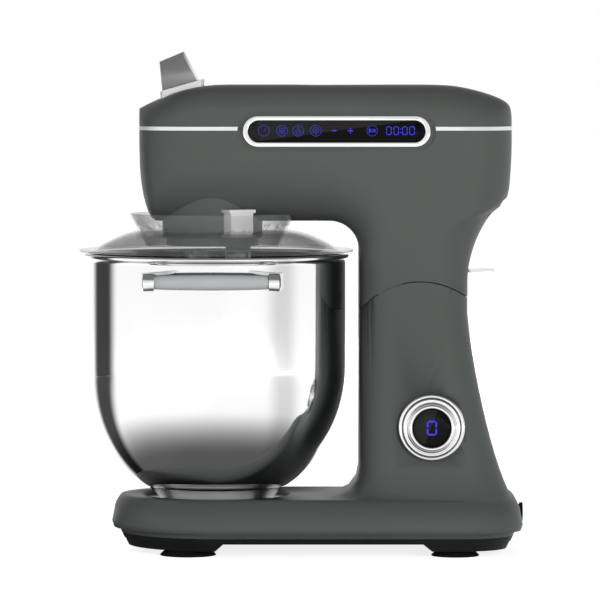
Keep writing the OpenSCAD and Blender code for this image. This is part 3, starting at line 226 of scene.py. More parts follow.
def glass_with_painted_glare(name, x, z, lean, dark, pale):
    """Black glass with a painted glare: its colour changes from pale to dark across a slanted line, a reflection
    painted into it.
    """
    m = bpy.data.materials.new(name)
    m.use_nodes = True
    t = m.node_tree
    p = t.nodes["Principled BSDF"]
    place = t.nodes.new("ShaderNodeTexCoord")
    turn = t.nodes.new("ShaderNodeMapping")
    turn.vector_type = "TEXTURE"
    turn.inputs["Location"].default_value = (x, 0, z)
    turn.inputs["Rotation"].default_value = (0, lean, 0)
    t.links.new(place.outputs["Object"], turn.inputs["Vector"])
    split = t.nodes.new("ShaderNodeSeparateXYZ")
    t.links.new(turn.outputs["Vector"], split.inputs["Vector"])
    edge = t.nodes.new("ShaderNodeMapRange")
    edge.inputs["From Min"].default_value = -0.0002
    edge.inputs["From Max"].default_value = 0.0002
    t.links.new(split.outputs["Z"], edge.inputs["Value"])
    # painted glare: the pale side of the slanted line stands in for a reflection on the glass
    tint = t.nodes.new("ShaderNodeValToRGB")
    tint.color_ramp.elements[0].color = (dark, dark, dark, 1)
    tint.color_ramp.elements[1].color = (pale, pale, pale, 1)
    t.links.new(edge.outputs["Result"], tint.inputs["Fac"])
    t.links.new(tint.outputs["Color"], p.inputs["Base Color"])
    dust = t.nodes.new("ShaderNodeTexNoise")
    dust.inputs["Scale"].default_value = 120.0
    t.links.new(place.outputs["Object"], dust.inputs["Vector"])
    spread = t.nodes.new("ShaderNodeMapRange")
    spread.inputs["To Min"].default_value = 0.04
    spread.inputs["To Max"].default_value = 0.10
    t.links.new(dust.outputs["Fac"], spread.inputs["Value"])
    t.links.new(spread.outputs["Result"], p.inputs["Roughness"])
    p.inputs["Specular IOR Level"].default_value = 0.08
    return m


def blue_lamp(name):
    m = bpy.data.materials.new(name)
    m.use_nodes = True
    t = m.node_tree
    p = t.nodes["Principled BSDF"]
    place = t.nodes.new("ShaderNodeTexCoord")
    cells = t.nodes.new("ShaderNodeTexNoise")
    cells.inputs["Scale"].default_value = 900.0
    t.links.new(place.outputs["Object"], cells.inputs["Vector"])
    tint = t.nodes.new("ShaderNodeValToRGB")
    tint.color_ramp.elements[0].position, tint.color_ramp.elements[0].color = 0.3, (0.008, 0.008, 0.62, 1)
    tint.color_ramp.elements[1].position, tint.color_ramp.elements[1].color = 0.7, (0.022, 0.022, 0.95, 1)
    t.links.new(cells.outputs["Fac"], tint.inputs["Fac"])
    t.links.new(tint.outputs["Color"], p.inputs["Emission Color"])
    p.inputs["Base Color"].default_value = (0.004, 0.004, 0.05, 1)
    p.inputs["Emission Strength"].default_value = 1.0
    p.inputs["Roughness"].default_value = 0.3
    return m


def glow_bar(x, z, long, wide, lean, y):
    """One lit bar, its ends drawn to points, on the plane y; all in mm."""
    bpy.ops.mesh.primitive_circle_add(vertices=6, radius=1, fill_type="NGON", rotation=(math.pi / 2, 0, 0))
    bar = bpy.context.object
    bpy.ops.object.transform_apply(location=True, rotation=True, scale=True)
    shape = ((-0.5, 0), (-0.5 + 0.5 * wide / long, 0.5), (0.5 - 0.5 * wide / long, 0.5), (0.5, 0),
             (0.5 - 0.5 * wide / long, -0.5), (-0.5 + 0.5 * wide / long, -0.5))
    c, s = math.cos(lean), math.sin(lean)
    for v, (a, b) in zip(bar.data.vertices, shape):
        a, b = a * long, b * wide
        v.co = ((x + a * c - b * s) * 0.001, y * 0.001, (z + a * s + b * c) * 0.001)
    return bar


def glow_ring(x, z, radius, wide, y):
    bpy.ops.mesh.primitive_circle_add(vertices=40, radius=radius * 0.001, location=(x * 0.001, y * 0.001, z * 0.001),
                                      rotation=(math.pi / 2, 0, 0))
    ring = bpy.context.object
    bpy.ops.object.transform_apply(location=True, rotation=True, scale=True)
    bpy.ops.object.mode_set(mode="EDIT")
    bpy.ops.mesh.select_all(action="SELECT")
    bpy.ops.mesh.extrude_edges_move()
    f = 1 - wide / radius
    bpy.ops.transform.resize(value=(f, 1, f), center_override=(x * 0.001, y * 0.001, z * 0.001))
    bpy.ops.object.mode_set(mode="OBJECT")
    return ring


def lit_marks(name, marks, body, glow, thick=0.00012):
    """Joins lit bars and rings into one piece with a little depth."""
    bpy.ops.object.select_all(action="DESELECT")
    for m in marks:
        m.select_set(True)
    bpy.context.view_layer.objects.active = marks[0]
    bpy.ops.object.join()
    piece = bpy.context.object
    piece.name = name
    bpy.ops.object.mode_set(mode="EDIT")
    bpy.ops.mesh.select_all(action="SELECT")
    bpy.ops.mesh.extrude_region_move(TRANSFORM_OT_translate={"value": (0, -thick, 0)})
    bpy.ops.mesh.select_all(action="SELECT")
    bpy.ops.mesh.normals_make_consistent(inside=False)
    bpy.ops.object.mode_set(mode="OBJECT")
    piece.data.materials.append(glow)
    piece.select_set(False)
    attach(piece, body)
    return piece


knob_x, knob_z = 188.0, 111.3
chrome = bright_plate("polished_chrome", 0.82, 0.04, 0.09)
# the knob's black glass carries a painted glare, paler on one side of a slanted line
knob_glass = glass_with_painted_glare("knob_glass", 0.1873, 0.1113, math.radians(-69.5), 0.002, 0.016)
glow = blue_lamp("blue_lamp")
bezel = turned("knob_bezel_ring", "base", chrome, [
    (25.7, 0), (29, 0), (29, 4.2), (28.8, 5.0), (28.3, 5.6), (27.5, 5.95), (26.7, 5.95), (26.0, 5.5), (25.7, 4.8)],
    (knob_x, -54.6, knob_z), facing="front")
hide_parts("knob_bezel")
turning = turned("knob_turning_ring", "knob", chrome, [
    (16.9, -9.1), (18.7, -9.1), (18.7, -1.9), (24.9, -1.9), (25, -1.6), (25, 3.0), (24.8, 3.8), (24.3, 4.3), (23.6, 4.4),
    (23.0, 4.1), (22.5, 4.0), (21.8, 4.3), (21.1, 4.9), (20.5, 5.8), (20.15, 6.8), (19.95, 7.7), (19.5, 8.25), (18.8, 8.5),
    (17.9, 8.5), (17.3, 8.25), (16.95, 7.7)],
    (knob_x, -57.6, knob_z), facing="front")
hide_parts("knob_ring")
lens = turned("knob_glass_disc", "base", knob_glass, [
    (0, -12.1), (8.0, -12.1), (8.0, 0), (15.9, 0), (16.2, 0.3), (16.2, 4.2), (16.0, 4.6), (15.6, 4.75), (12, 4.86), (6, 4.93),
    (0, 4.95)],
    (knob_x, -59.6, knob_z), facing="front")
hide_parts("knob_lens")
digit_y = -64.55
marks = [glow_bar(knob_x, knob_z + s * 5.7, 6.6, 1.5, 0, digit_y) for s in (-1, 1)]
marks += [glow_bar(knob_x + s * 3.75, knob_z + r * 2.95, 5.2, 1.5, math.pi / 2, digit_y)
          for s in (-1, 1) for r in (-1, 1)]
lit_marks("knob_digit", marks, "base", glow)

# ---- Parts inside the base ----
# The encoder is clamped behind the column wall with its board, and the power board stands on
# posts of the tray. Hinge pin and screws are plain turned steel.
def dress(finish, *names):
    for n in names:
        for s in nodes[n].material_slots:
            s.material = finish


board_green = grained("solder_mask_green", (0.012, 0.075, 0.03), (0.02, 0.11, 0.045), 0.35, 500, 0.05)
turned_steel = grained("turned_steel", (0.5, 0.5, 0.51), (0.58, 0.58, 0.59), 0.25, 1200, 0.03, metal=1.0)
dress(board_green, "control_board", "power_board", "display_board", "speed_encoder")
dress(turned_steel, "hinge_pin", "lever_pin", "lever_spring", "lock_bolt", "output_shaft", "agitator_shaft", "drive_pin",
      "countershaft", "rotor_shaft", "shaft_bearings", "gearbox_screws")

# ---- Bowl ----
# The bowl is spun from stainless steel sheet to a mirror finish, with a rolled rim. A pressed
# chrome foot with bayonet slots is welded under it.
def spun_steel(name):
    m = bpy.data.materials.new(name)
    m.use_nodes = True
    t = m.node_tree
    p = t.nodes["Principled BSDF"]
    place = t.nodes.new("ShaderNodeTexCoord")
    lines = t.nodes.new("ShaderNodeMapping")
    lines.inputs["Scale"].default_value = (6, 6, 2500)
    t.links.new(place.outputs["Object"], lines.inputs["Vector"])
    turns = t.nodes.new("ShaderNodeTexNoise")
    turns.inputs["Scale"].default_value = 1.0
    turns.inputs["Detail"].default_value = 2.0
    t.links.new(lines.outputs["Vector"], turns.inputs["Vector"])
    bump = t.nodes.new("ShaderNodeBump")
    bump.inputs["Strength"].default_value = 0.02
    bump.inputs["Distance"].default_value = 0.00008
    t.links.new(turns.outputs["Fac"], bump.inputs["Height"])
    t.links.new(bump.outputs["Normal"], p.inputs["Normal"])
    haze = t.nodes.new("ShaderNodeTexNoise")
    haze.inputs["Scale"].default_value = 12.0
    haze.inputs["Detail"].default_value = 4.0
    t.links.new(place.outputs["Object"], haze.inputs["Vector"])
    spread = t.nodes.new("ShaderNodeMapRange")
    spread.inputs["From Min"].default_value = 0.3
    spread.inputs["From Max"].default_value = 0.7
    spread.inputs["To Min"].default_value = 0.035
    spread.inputs["To Max"].default_value = 0.075
    t.links.new(haze.outputs["Fac"], spread.inputs["Value"])
    t.links.new(spread.outputs["Result"], p.inputs["Roughness"])
    tint = t.nodes.new("ShaderNodeValToRGB")
    tint.color_ramp.elements[0].color = (0.84, 0.84, 0.845, 1)
    tint.color_ramp.elements[1].color = (0.89, 0.89, 0.89, 1)
    t.links.new(haze.outputs["Fac"], tint.inputs["Fac"])
    t.links.new(tint.outputs["Color"], p.inputs["Base Color"])
    p.inputs["Metallic"].default_value = 1.0
    return m


def bowl_radius(z):
    return 114.0 if z >= 163 else 20 + 94 * math.sqrt(1 - ((163 - z) / 118.35) ** 2)


steel = spun_steel("mirror_spun_steel")
rise_z = [55.9 + (163 - 55.9) * (i / 30) ** 1.3 for i in range(31)]
outer = [(0, 55.9), (30, 55.9), (56, 55.9)] + [(bowl_radius(z), z) for z in rise_z[1:]]
outer += [(114, 185), (114, 210), (114, 235), (114, 253.8), (114, 254.2), (114.1, 254.6)]
bead = [(114.6 + 2.2 * math.cos(math.radians(a)), 258.8 + 2.2 * math.sin(math.radians(a))) for a in range(-75, 151, 15)]
inner = [(112.8, 258.4), (112.8, 258.0), (112.8, 257.6), (112.8, 235), (112.8, 210), (112.8, 185)] + [
    (bowl_radius(z) - 1.2, z + 1.2 * (1 - (z - 55.9) / 107.1)) for z in reversed(rise_z[1:])] + [
        (56, 57.1), (30, 57.1), (0, 57.1)]
bowl = turned("mixing_bowl", "bowl", steel, outer + bead + inner, steps=192, angle=50)
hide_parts("bowl")
skin_over("bowl_foot", "bowl", chrome, edge=0.0003)

# ---- Bowl handle ----
# Two plated arms stand off the bowl's wall and hold a barrel-shaped grip moulded in soft
# grey-blue rubber.
grip_rubber = grained("grey_blue_grip", (0.46, 0.49, 0.495), (0.49, 0.52, 0.525), 0.5, 1500, 0.06, specular=0.4)
half_grip = [(0, 51.8), (2.6, 51.7), (4.4, 51.0), (5.4, 49.6), (5.8, 47.5), (6.05, 43), (6.3, 34), (6.5, 22), (6.65, 10)]
grip = turned("handle_barrel", "bowl", grip_rubber,
              half_grip + [(6.7, 0)] + [(r, -h) for r, h in reversed(half_grip)], (-2, -138, 241), facing="side", steps=64)
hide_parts("handle_grip")
skin_over("handle_brackets", "bowl", chrome, edge=0.0007)

# ---- Beater ----
# The flat beater is cast in aluminium and hooks over the pin of the planet's shaft.
cast_alloy = grained("cast_aluminium", (0.46, 0.47, 0.48), (0.55, 0.56, 0.57), 0.38, 700, 0.12, metal=1.0)
skin_over("flat_beater", "agitator", cast_alloy, edge=0.0012)

# ---- Chassis frame ----
# A cast frame carries the hinge bushes, the lock catch, the motor and the gearbox, so both
# painted head shells are only screwed round it.
bare_casting = grained("bare_die_casting", (0.34, 0.345, 0.35), (0.42, 0.425, 0.43), 0.5, 420, 0.14, metal=1.0)
bronze = grained("sintered_bronze", (0.42, 0.26, 0.12), (0.5, 0.32, 0.16), 0.38, 1600, 0.08, metal=1.0)
dress(turned_steel, "chassis_frame")
dress(bronze, "hinge_bushes")

# ---- Drive train ----
# A wound motor turns the countershaft through a toothed belt. Its steel gears turn the planet
# hub, whose own pinion rolls round the fixed ring gear.
core_iron = grained("varnished_core_iron", (0.19, 0.15, 0.11), (0.27, 0.21, 0.15), 0.42, 1400, 0.2, metal=1.0)
belt_rubber = grained("belt_rubber", (0.01, 0.01, 0.01), (0.016, 0.016, 0.016), 0.7, 1500, 0.15, specular=0.3)
gear_steel = grained("hardened_gear_steel", (0.4, 0.4, 0.41), (0.5, 0.5, 0.51), 0.28, 1100, 0.05, metal=1.0)
nylon = grained("natural_nylon", (0.62, 0.6, 0.53), (0.68, 0.66, 0.6), 0.45, 1300, 0.05)
moulded_black = grained("moulded_dark_plastic", (0.025, 0.025, 0.027), (0.034, 0.034, 0.036), 0.45, 1700, 0.1)
dress(bare_casting, "gearbox_housing", "gearbox_cover", "motor_housing", "motor_pulley")
dress(core_iron, "motor_stator", "rotor_core")
dress(belt_rubber, "drive_belt")
dress(gear_steel, "ring_gear", "planet_pinion", "counter_pinion")
dress(nylon, "main_gear")
dress(moulded_black, "large_pulley", "cooling_fan")
hub_grey = grained("anodised_hub_grey", (0.30, 0.305, 0.31), (0.36, 0.365, 0.37), 0.4, 900, 0.05, metal=1.0)
skin_over("planet_hub", "hub", hub_grey, edge=0.0008)

# ---- Head casings ----
# The head is two hollow shells in the same painted casting: a crown and a lower half whose rear
# turns down into the neck. One rounded edge runs under the head and on down the neck's front.
crown_line = [(60, 408.6), (150, 409), (190, 409), (207, 408.2), (218, 406.3), (229, 403.8), (240, 400.4),
              (250, 396.4), (256.5, 392), (258.8, 385), (259, 370), (259, 350), (258.2, 334), (256.6, 314),
              (252.6, 305.5), (243, 298.6), (236.4, 290), (231.4, 281), (227.2, 272), (224, 263),
              (221.6, 254), (220.3, 246), (220, 238), (220, 225)]
fan_x, fan_z = 75.0, 240.0


def eased(line, rounds=3):
    """A line of points with its corners cut back until it runs smoothly."""
    for _ in range(rounds):
        cut = [line[0]]
        for p, q in zip(line, line[1:]):
            cut += [(0.75 * p[0] + 0.25 * q[0], 0.75 * p[1] + 0.25 * q[1]),
                    (0.25 * p[0] + 0.75 * q[0], 0.25 * p[1] + 0.75 * q[1])]
        line = cut + [line[-1]]
    return line


def step(v, lo, hi):
    u = min(1.0, max(0.0, (v - lo) / (hi - lo)))
    return u * u * (3 - 2 * u)


def head_sections(inset):
    """Slices from nose to neck: inner point, outer point, half width and the two corner sizes."""
    rows = []
    nose = -67.5
    for d in (0.0, 0.35, 1.0, 2.0, 3.5, 5.5, 8, 11, 14.5, 19, 24, 30, 36, 42, 48, 56, 66, 78, 92, 108, 124, 138):
        d = d * (1 - inset / 138) + inset
        x = nose + d
        k = min(1.0, (d - inset) / (15.5 - 0.5 * inset))
        low = 289.5 + inset + (60 - inset) * (1 - math.sqrt(max(0.0, 1 - (1 - k) ** 2)))
        k = min(1.0, (d - inset) / 75)
        high = 388 + (21 - inset) * (1 - (1 - k) ** 2)
        r = 48 - inset
        k = min(1.0, (d - inset) / r)
        half = 8 + r * math.sqrt(max(0.0, 1 - (1 - k) ** 2))
        rows.append(((x, low), (x, high), half, min(50 - inset, 0.9 * half), min(60 - inset, 0.55 * (high - low)),
                     min(32 - inset, 0.8 * half), min(22 - inset, 0.3 * (high - low))))
    outer = eased(crown_line)
    back = []
    for i, p in enumerate(outer):
        a, b = outer[max(0, i - 1)], outer[min(len(outer) - 1, i + 1)]
        t = Vector((b[0] - a[0], b[1] - a[1])).normalized()
        back.append((p[0] + t.y * inset, p[1] - t.x * inset))
    last = None
    for p in back:
        ang = math.degrees(math.atan2(p[1] - fan_z, p[0] - fan_x))
        if ang > 86 or ang < 1 or (last is not None and math.dist(p, last) < 1.2):
            continue
        last = p
        c, s = math.cos(math.radians(ang)), math.sin(math.radians(ang))
        r = 25 + inset
        fx, fz = fan_x - 100, fan_z - 264.5
        if s > 0 and fan_x + c * (49.5 + inset) / s < 100:
            t = (49.5 + inset) / s
        elif fan_z + s * (50 + inset) / c < 264.5:
            t = (50 + inset) / c
        else:
            m = fx * c + fz * s
            t = -m + math.sqrt(m * m - (fx * fx + fz * fz - r * r))
        u = (90 - ang) / 90
        e = step(u, 0.12, 0.85)
        f = step(u, 0.15, 0.6)
        g = step(u, 0.75, 1.0)
        rows.append(((fan_x + c * t, fan_z + s * t), p, 56 - 0.6 * step(u, 0, 1) - inset,
                     50 - 26 * e - inset, 60 - 36 * e - inset,
                     32 + 10 * f - 14 * g - inset, 22 + 20 * f - 12 * g - inset))
    for z in (238, 228, 218, 208, 200, 190, 180):
        rows.append(((125 + inset, z), (220 - inset, z), 55.4 - inset, 24 - inset, 24 - inset, 28 - inset, 30 - inset))
    return rows


def slice_points(row, corner=14, side=12):
    """The closed outline of one slice, as points in metres."""
    (xa, za), (xb, zb), half, ai, bi, ao, bo = row
    span = math.dist((xa, za), (xb, zb))
    ex, ez = (xb - xa) / span, (zb - za) / span
    edge = [(half - ai) * j / 5 for j in range(5)]
    line = [(y, 0.0) for y in edge]
    line += [(half - ai + ai * math.sin(math.pi / 2 * j / corner), bi * (1 - math.cos(math.pi / 2 * j / corner)))
             for j in range(corner)]
    line += [(half, bi + (span - bo - bi) * j / side) for j in range(side)]
    line += [(half - ao + ao * math.cos(math.pi / 2 * j / corner), span - bo + bo * math.sin(math.pi / 2 * j / corner))
             for j in range(corner)]
    line += [((half - ao) * (1 - j / 5), span) for j in range(5)]
    line += [(0.0, span)]
    line += [(-y, s) for y, s in reversed(line[1:-1])]
    return [Vector((xa + ex * s, y, za + ez * s)) * 0.001 for y, s in line]


def wrapped(name, rows, outline):
    """A flat sheet wrapped round a run of slices and closed at both ends."""
    rings = [outline(r) for r in rows]
    n = len(rings[0])
    bpy.ops.object.select_all(action="DESELECT")
    bpy.ops.mesh.primitive_grid_add(x_subdivisions=n, y_subdivisions=len(rings) - 1, size=1)
    piece = bpy.context.object
    piece.name = name
    grid = piece.data.vertices
    for k, v in enumerate(grid):
        i, j = k // (n + 1), k % (n + 1)
        v.co = rings[i][j % n]
    bpy.ops.object.mode_set(mode="EDIT")
    bpy.ops.mesh.select_all(action="SELECT")
    bpy.ops.mesh.remove_doubles(threshold=1e-7)
    bpy.ops.mesh.select_all(action="DESELECT")
    bpy.ops.mesh.select_mode(type="EDGE")
    bpy.ops.mesh.select_non_manifold()
    bpy.ops.mesh.edge_face_add()
    bpy.ops.mesh.select_mode(type="VERT")
    bpy.ops.mesh.select_all(action="SELECT")
    bpy.ops.mesh.normals_make_consistent(inside=False)
    bpy.ops.mesh.select_all(action="DESELECT")
    bpy.ops.object.mode_set(mode="OBJECT")
    piece.select_set(False)
    return piece


def cut(piece, tool, operation="DIFFERENCE"):
    """Cuts a tool out of a piece, or joins it on, and clears the tool away."""
    bpy.context.view_layer.objects.active = piece
    m = piece.modifiers.new("cut", "BOOLEAN")
    m.object, m.operation, m.solver = tool, operation, "EXACT"
    bpy.ops.object.modifier_apply(modifier=m.name)
    bpy.data.objects.remove(tool)


def cross_bar(radius, x, y, z, length, sides=160):
    bpy.ops.mesh.primitive_cylinder_add(vertices=sides, radius=radius, depth=length, location=(x, y, z),
                                        rotation=(math.pi / 2, 0, 0))
    bar = bpy.context.object
    bpy.ops.object.transform_apply(location=True, rotation=True, scale=True)
    return bar


def post(radius, x, y, low, high, sides=128):
    bpy.ops.mesh.primitive_cylinder_add(vertices=sides, radius=radius, depth=high - low,
                                        location=(x, y, (low + high) / 2))
    bar = bpy.context.object
    bpy.ops.object.transform_apply(location=True, rotation=True, scale=True)
    return bar


def block(x0, x1, y0, y1, z0, z1):
    bpy.ops.mesh.primitive_cube_add(size=1, location=((x0 + x1) / 2, (y0 + y1) / 2, (z0 + z1) / 2),
                                    scale=(x1 - x0, y1 - y0, z1 - z0))
    bar = bpy.context.object
    bpy.ops.object.transform_apply(location=True, rotation=True, scale=True)
    return bar


def stadium(length, height, x, y, z, depth, sides=48):
    """A rounded bar across the head's side, made by drawing a cylinder out along X."""
    bar = cross_bar(height / 2, x, y, z, depth, sides)
    for v in bar.data.vertices:
        v.co.x += (length - height) / 2 * (1 if v.co.x > x else -1)
    return bar


def smooth_by(piece, degrees):
    bpy.ops.object.select_all(action="DESELECT")
    piece.select_set(True)
    bpy.context.view_layer.objects.active = piece
    bpy.ops.object.shade_smooth_by_angle(angle=math.radians(degrees))
    piece.select_set(False)


def band(name, out, low, high, inside):
    """A level belt round the head, from its skin moved out to its skin moved in; mm, heights in m."""
    belt = wrapped(name, head_sections(-out), slice_points)
    cut(belt, block(-0.2, 0.4, -0.2, 0.2, low, high), "INTERSECT")
    cut(belt, wrapped("belt_core", head_sections(inside), slice_points))
    return belt


seam_x, seam_z = 0.178, 0.171
hub_x = -0.0035
display_x, display_z = 0.1053, 0.3687
shell = wrapped("head_shell", head_sections(0), slice_points)
cut(shell, post(0.044, hub_x, 0, 0.275, 0.330), "UNION")
hollow = wrapped("head_hollow", head_sections(3), slice_points)
cut(hollow, cross_bar(0.0704, seam_x, 0, seam_z, 0.2))
cut(shell, hollow)
cut(shell, post(0.041, hub_x, 0, 0.270, 0.312))
cut(shell, cross_bar(0.0674, seam_x, 0, seam_z, 0.2))
cut(shell, block(0.1, 0.3, -0.1, 0.1, 0.1, 0.2))
cut(shell, stadium(0.172, 0.034, display_x, -0.056, display_z, 0.0032))
cut(shell, stadium(0.158, 0.022, display_x, -0.056, display_z, 0.03))
cut(shell, band("trim_groove", 1.0, 0.3692, 0.3728, 1.6))
cut(shell, block(0.209, 0.231, -0.0137, 0.0137, 0.2411, 0.2485))
for s in (-1, 1):
    cut(shell, block(0.136, 0.166, s * 0.043 - 0.0036, s * 0.043 + 0.0036, 0.214, 0.243))
cut(shell, post(0.0046, 0.1968, 0, 0.225, 0.252))
slot = block(0.216, 0.276, -0.0306, 0.0306, 0.3, 0.304)
slot.data.transform(Matrix.Translation((0.246, 0, 0.302)) @ Matrix.Rotation(math.radians(-35), 4, "Y") @
                    Matrix.Translation((-0.246, 0, -0.302)))
cut(shell, slot)
cut(shell, block(-0.2, 0.4, -0.2, 0.2, 0.3707, 0.3713))
for name, node, low, high in (("head_crown", "head_top_cover", 0.371, 0.6),
                              ("head_body", "head_lower_casing", 0.1, 0.371)):
    half = shell.copy()
    half.data = shell.data.copy()
    half.name = name
    bpy.context.scene.collection.objects.link(half)
    cut(half, block(-0.3, 0.5, -0.3, 0.3, low, high), "INTERSECT")
    smooth_by(half, 30)
    half.data.materials.clear()
    half.data.materials.append(paint)
    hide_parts(node)
    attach(half, "head")
bpy.data.objects.remove(shell)

# ---- Trim strip ----
# A thin bright strip is let into a groove all round the joint of the two shells, and the
# display's bezel interrupts it on the near side.
strip = band("trim_band", 0.45, 0.36935, 0.37265, 1.5)
cut(strip, stadium(0.1724, 0.0344, display_x, -0.056, display_z, 0.02))
smooth_by(strip, 30)
strip.data.materials.clear()
strip.data.materials.append(bright_plate("brushed_trim_plate", 0.88, 0.5, 0.6))
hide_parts("trim_strip")
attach(strip, "head")

# ---- Display ----
# A plated bezel holds a long black glass with a painted glare, paler above a slanted line.
# Blue lamps behind it show four programmes, minus, plus, start and the time.
skin_over("display_bezel", "head", chrome, edge=0.0007)
# painted glare on the display glass: paler above a slanted line, a reflection painted into its colour
display_glass = glass_with_painted_glare("display_glass_black", display_x, display_z + 0.0006, math.radians(-7.5), 0.0022, 0.018)
skin_over("display_glass", "head", display_glass)
dress(board_green, "display_board")
dim_glow = blue_lamp("dim_blue_lamp")
dim_glow.node_tree.nodes["Principled BSDF"].inputs["Emission Strength"].default_value = 0.35
face_y, mark_z = -57.15, 369.3
dim = []
for x in (42.2, 57.9, 71.9, 87.2):
    dim.append(glow_ring(x, mark_z, 5.0, 0.55, face_y))
dim += [glow_bar(42.9, mark_z + 1.0, 2.6, 0.6, math.radians(55), face_y),
        glow_bar(42.6, mark_z + 0.1, 1.6, 0.6, math.radians(-20), face_y)]
dim += [glow_ring(57.9 + 1.9 * math.cos(a), mark_z + 1.9 * math.sin(a), 1.35, 0.45, face_y)
        for a in (math.radians(45), math.radians(135), math.radians(225), math.radians(315))]
dim += [glow_ring(71.9 + 1.8 * math.cos(a), mark_z + 1.8 * math.sin(a), 1.2, 0.45, face_y)
        for a in (math.radians(90), math.radians(210), math.radians(330))]
dim += [glow_bar(71.9, mark_z - 3.2, 3.4, 0.5, 0, face_y)]
dim += [glow_ring(87.2, mark_z, 2.9, 0.5, face_y), glow_ring(87.2, mark_z, 1.3, 0.5, face_y),
        glow_bar(87.2, mark_z - 3.6, 1.6, 0.5, math.pi / 2, face_y)]
lit_marks("programme_marks", dim, "head", dim_glow)
lit = [glow_bar(103.0, mark_z, 4.6, 0.9, 0, face_y), glow_bar(117.2, mark_z, 4.9, 0.9, 0, face_y),
       glow_bar(117.2, mark_z + 1.5, 2.0, 0.9, math.pi / 2, face_y),
        glow_bar(117.2, mark_z - 1.5, 2.0, 0.9, math.pi / 2, face_y)]
lit += [glow_bar(134.4, mark_z + s * 0.95, 2.8, 0.7, -s * math.radians(38), face_y) for s in (-1, 1)]
lit += [glow_bar(133.5, mark_z, 3.4, 0.7, math.pi / 2, face_y), glow_bar(136.8, mark_z, 3.4, 0.7, math.pi / 2, face_y),
        glow_bar(138.4, mark_z, 3.4, 0.7, math.pi / 2, face_y)]
for x in (150.6, 156.9, 164.4, 170.7):
    lit += [glow_bar(x, mark_z + s * 3.4, 3.2, 0.75, 0, face_y) for s in (-1, 1)]
    lit += [glow_bar(x + s * 2.0, mark_z + r * 1.7, 3.0, 0.75, math.pi / 2, face_y) for s in (-1, 1) for r in (-1, 1)]
lit += [glow_bar(160.65, mark_z + s * 1.5, 0.9, 0.8, 0, face_y) for s in (-1, 1)]
lit_marks("time_marks", lit, "head", glow)
lit_marks("start_ring", [glow_ring(136.1, mark_z, 4.8, 0.5, face_y)], "head", dim_glow)

# ---- Lift grip, collar and rear vent ----
# A plated hollow grip leans forward over the crown, for raising the head. It sits on a narrow
# white collar, and a slotted vent lets the motor's air out behind.
white_clip = grained("white_moulding", (0.74, 0.74, 0.74), (0.8, 0.8, 0.8), 0.32, 1500, 0.04)
lift_grip = skin_over("lift_grip", "head", chrome, edge=0.0009)
# painted reflection: the grip's flat sides, facing toward and away from the view, take a dark copy of the chrome in
# place of the dark reflection they show
lift_grip.data.materials.append(bright_plate("grip_side_painted_reflection", 0.17, 0.18, 0.26))
for f in lift_grip.data.polygons:
    if abs(f.normal.y) > 0.9:
        f.material_index = 1
skin_over("grip_collar", "head", white_clip, edge=0.0005)
dress(tray_black, "rear_vent")

# ---- Release lever ----
# A plated thumb lever under the rear of the head draws the lock bolt out of the column.
skin_over("release_lever", "lever", chrome, edge=0.0005)

# ---- Splash guard ----
# A clear moulded guard rests on the rim of the bowl and rises to a feed funnel round the hub
# boss. Two white clips hold it to the boss.
def clear_moulding(name):
    m = bpy.data.materials.new(name)
    m.use_nodes = True
    t = m.node_tree
    p = t.nodes["Principled BSDF"]
    place = t.nodes.new("ShaderNodeTexCoord")
    haze = t.nodes.new("ShaderNodeTexNoise")
    haze.inputs["Scale"].default_value = 60.0
    haze.inputs["Detail"].default_value = 4.0
    t.links.new(place.outputs["Object"], haze.inputs["Vector"])
    spread = t.nodes.new("ShaderNodeMapRange")
    spread.inputs["From Min"].default_value = 0.3
    spread.inputs["From Max"].default_value = 0.7
    spread.inputs["To Min"].default_value = 0.0
    spread.inputs["To Max"].default_value = 0.05
    t.links.new(haze.outputs["Fac"], spread.inputs["Value"])
    t.links.new(spread.outputs["Result"], p.inputs["Roughness"])
    p.inputs["Base Color"].default_value = (0.9, 0.91, 0.905, 1)
    p.inputs["IOR"].default_value = 1.46
    p.inputs["Specular IOR Level"].default_value = 0.35
    # painted shade: the guard runs from pale grey face-on to near black, and grows less clear, where it turns edge-on
    # to the view, in place of the dark edges refraction gives clear plastic
    edge_on = t.nodes.new("ShaderNodeLayerWeight")
    edge_on.inputs["Blend"].default_value = 0.5
    cover = t.nodes.new("ShaderNodeMapRange")
    cover.inputs["From Min"].default_value = 0.1
    cover.inputs["From Max"].default_value = 0.95
    cover.inputs["To Min"].default_value = 0.07
    cover.inputs["To Max"].default_value = 0.5
    t.links.new(edge_on.outputs["Facing"], cover.inputs["Value"])
    tint = t.nodes.new("ShaderNodeMix")
    tint.data_type = "RGBA"
    tint.inputs["A"].default_value = (0.62, 0.64, 0.63, 1)
    tint.inputs["B"].default_value = (0.05, 0.055, 0.052, 1)
    t.links.new(edge_on.outputs["Facing"], tint.inputs["Factor"])
    t.links.new(tint.outputs["Result"], p.inputs["Base Color"])
    t.links.new(cover.outputs["Result"], p.inputs["Alpha"])
    return m


clear = clear_moulding("clear_polycarbonate")
skin_over("splash_guard", "head", clear)
skin_over("guard_clips", "head", white_clip, edge=0.0008)

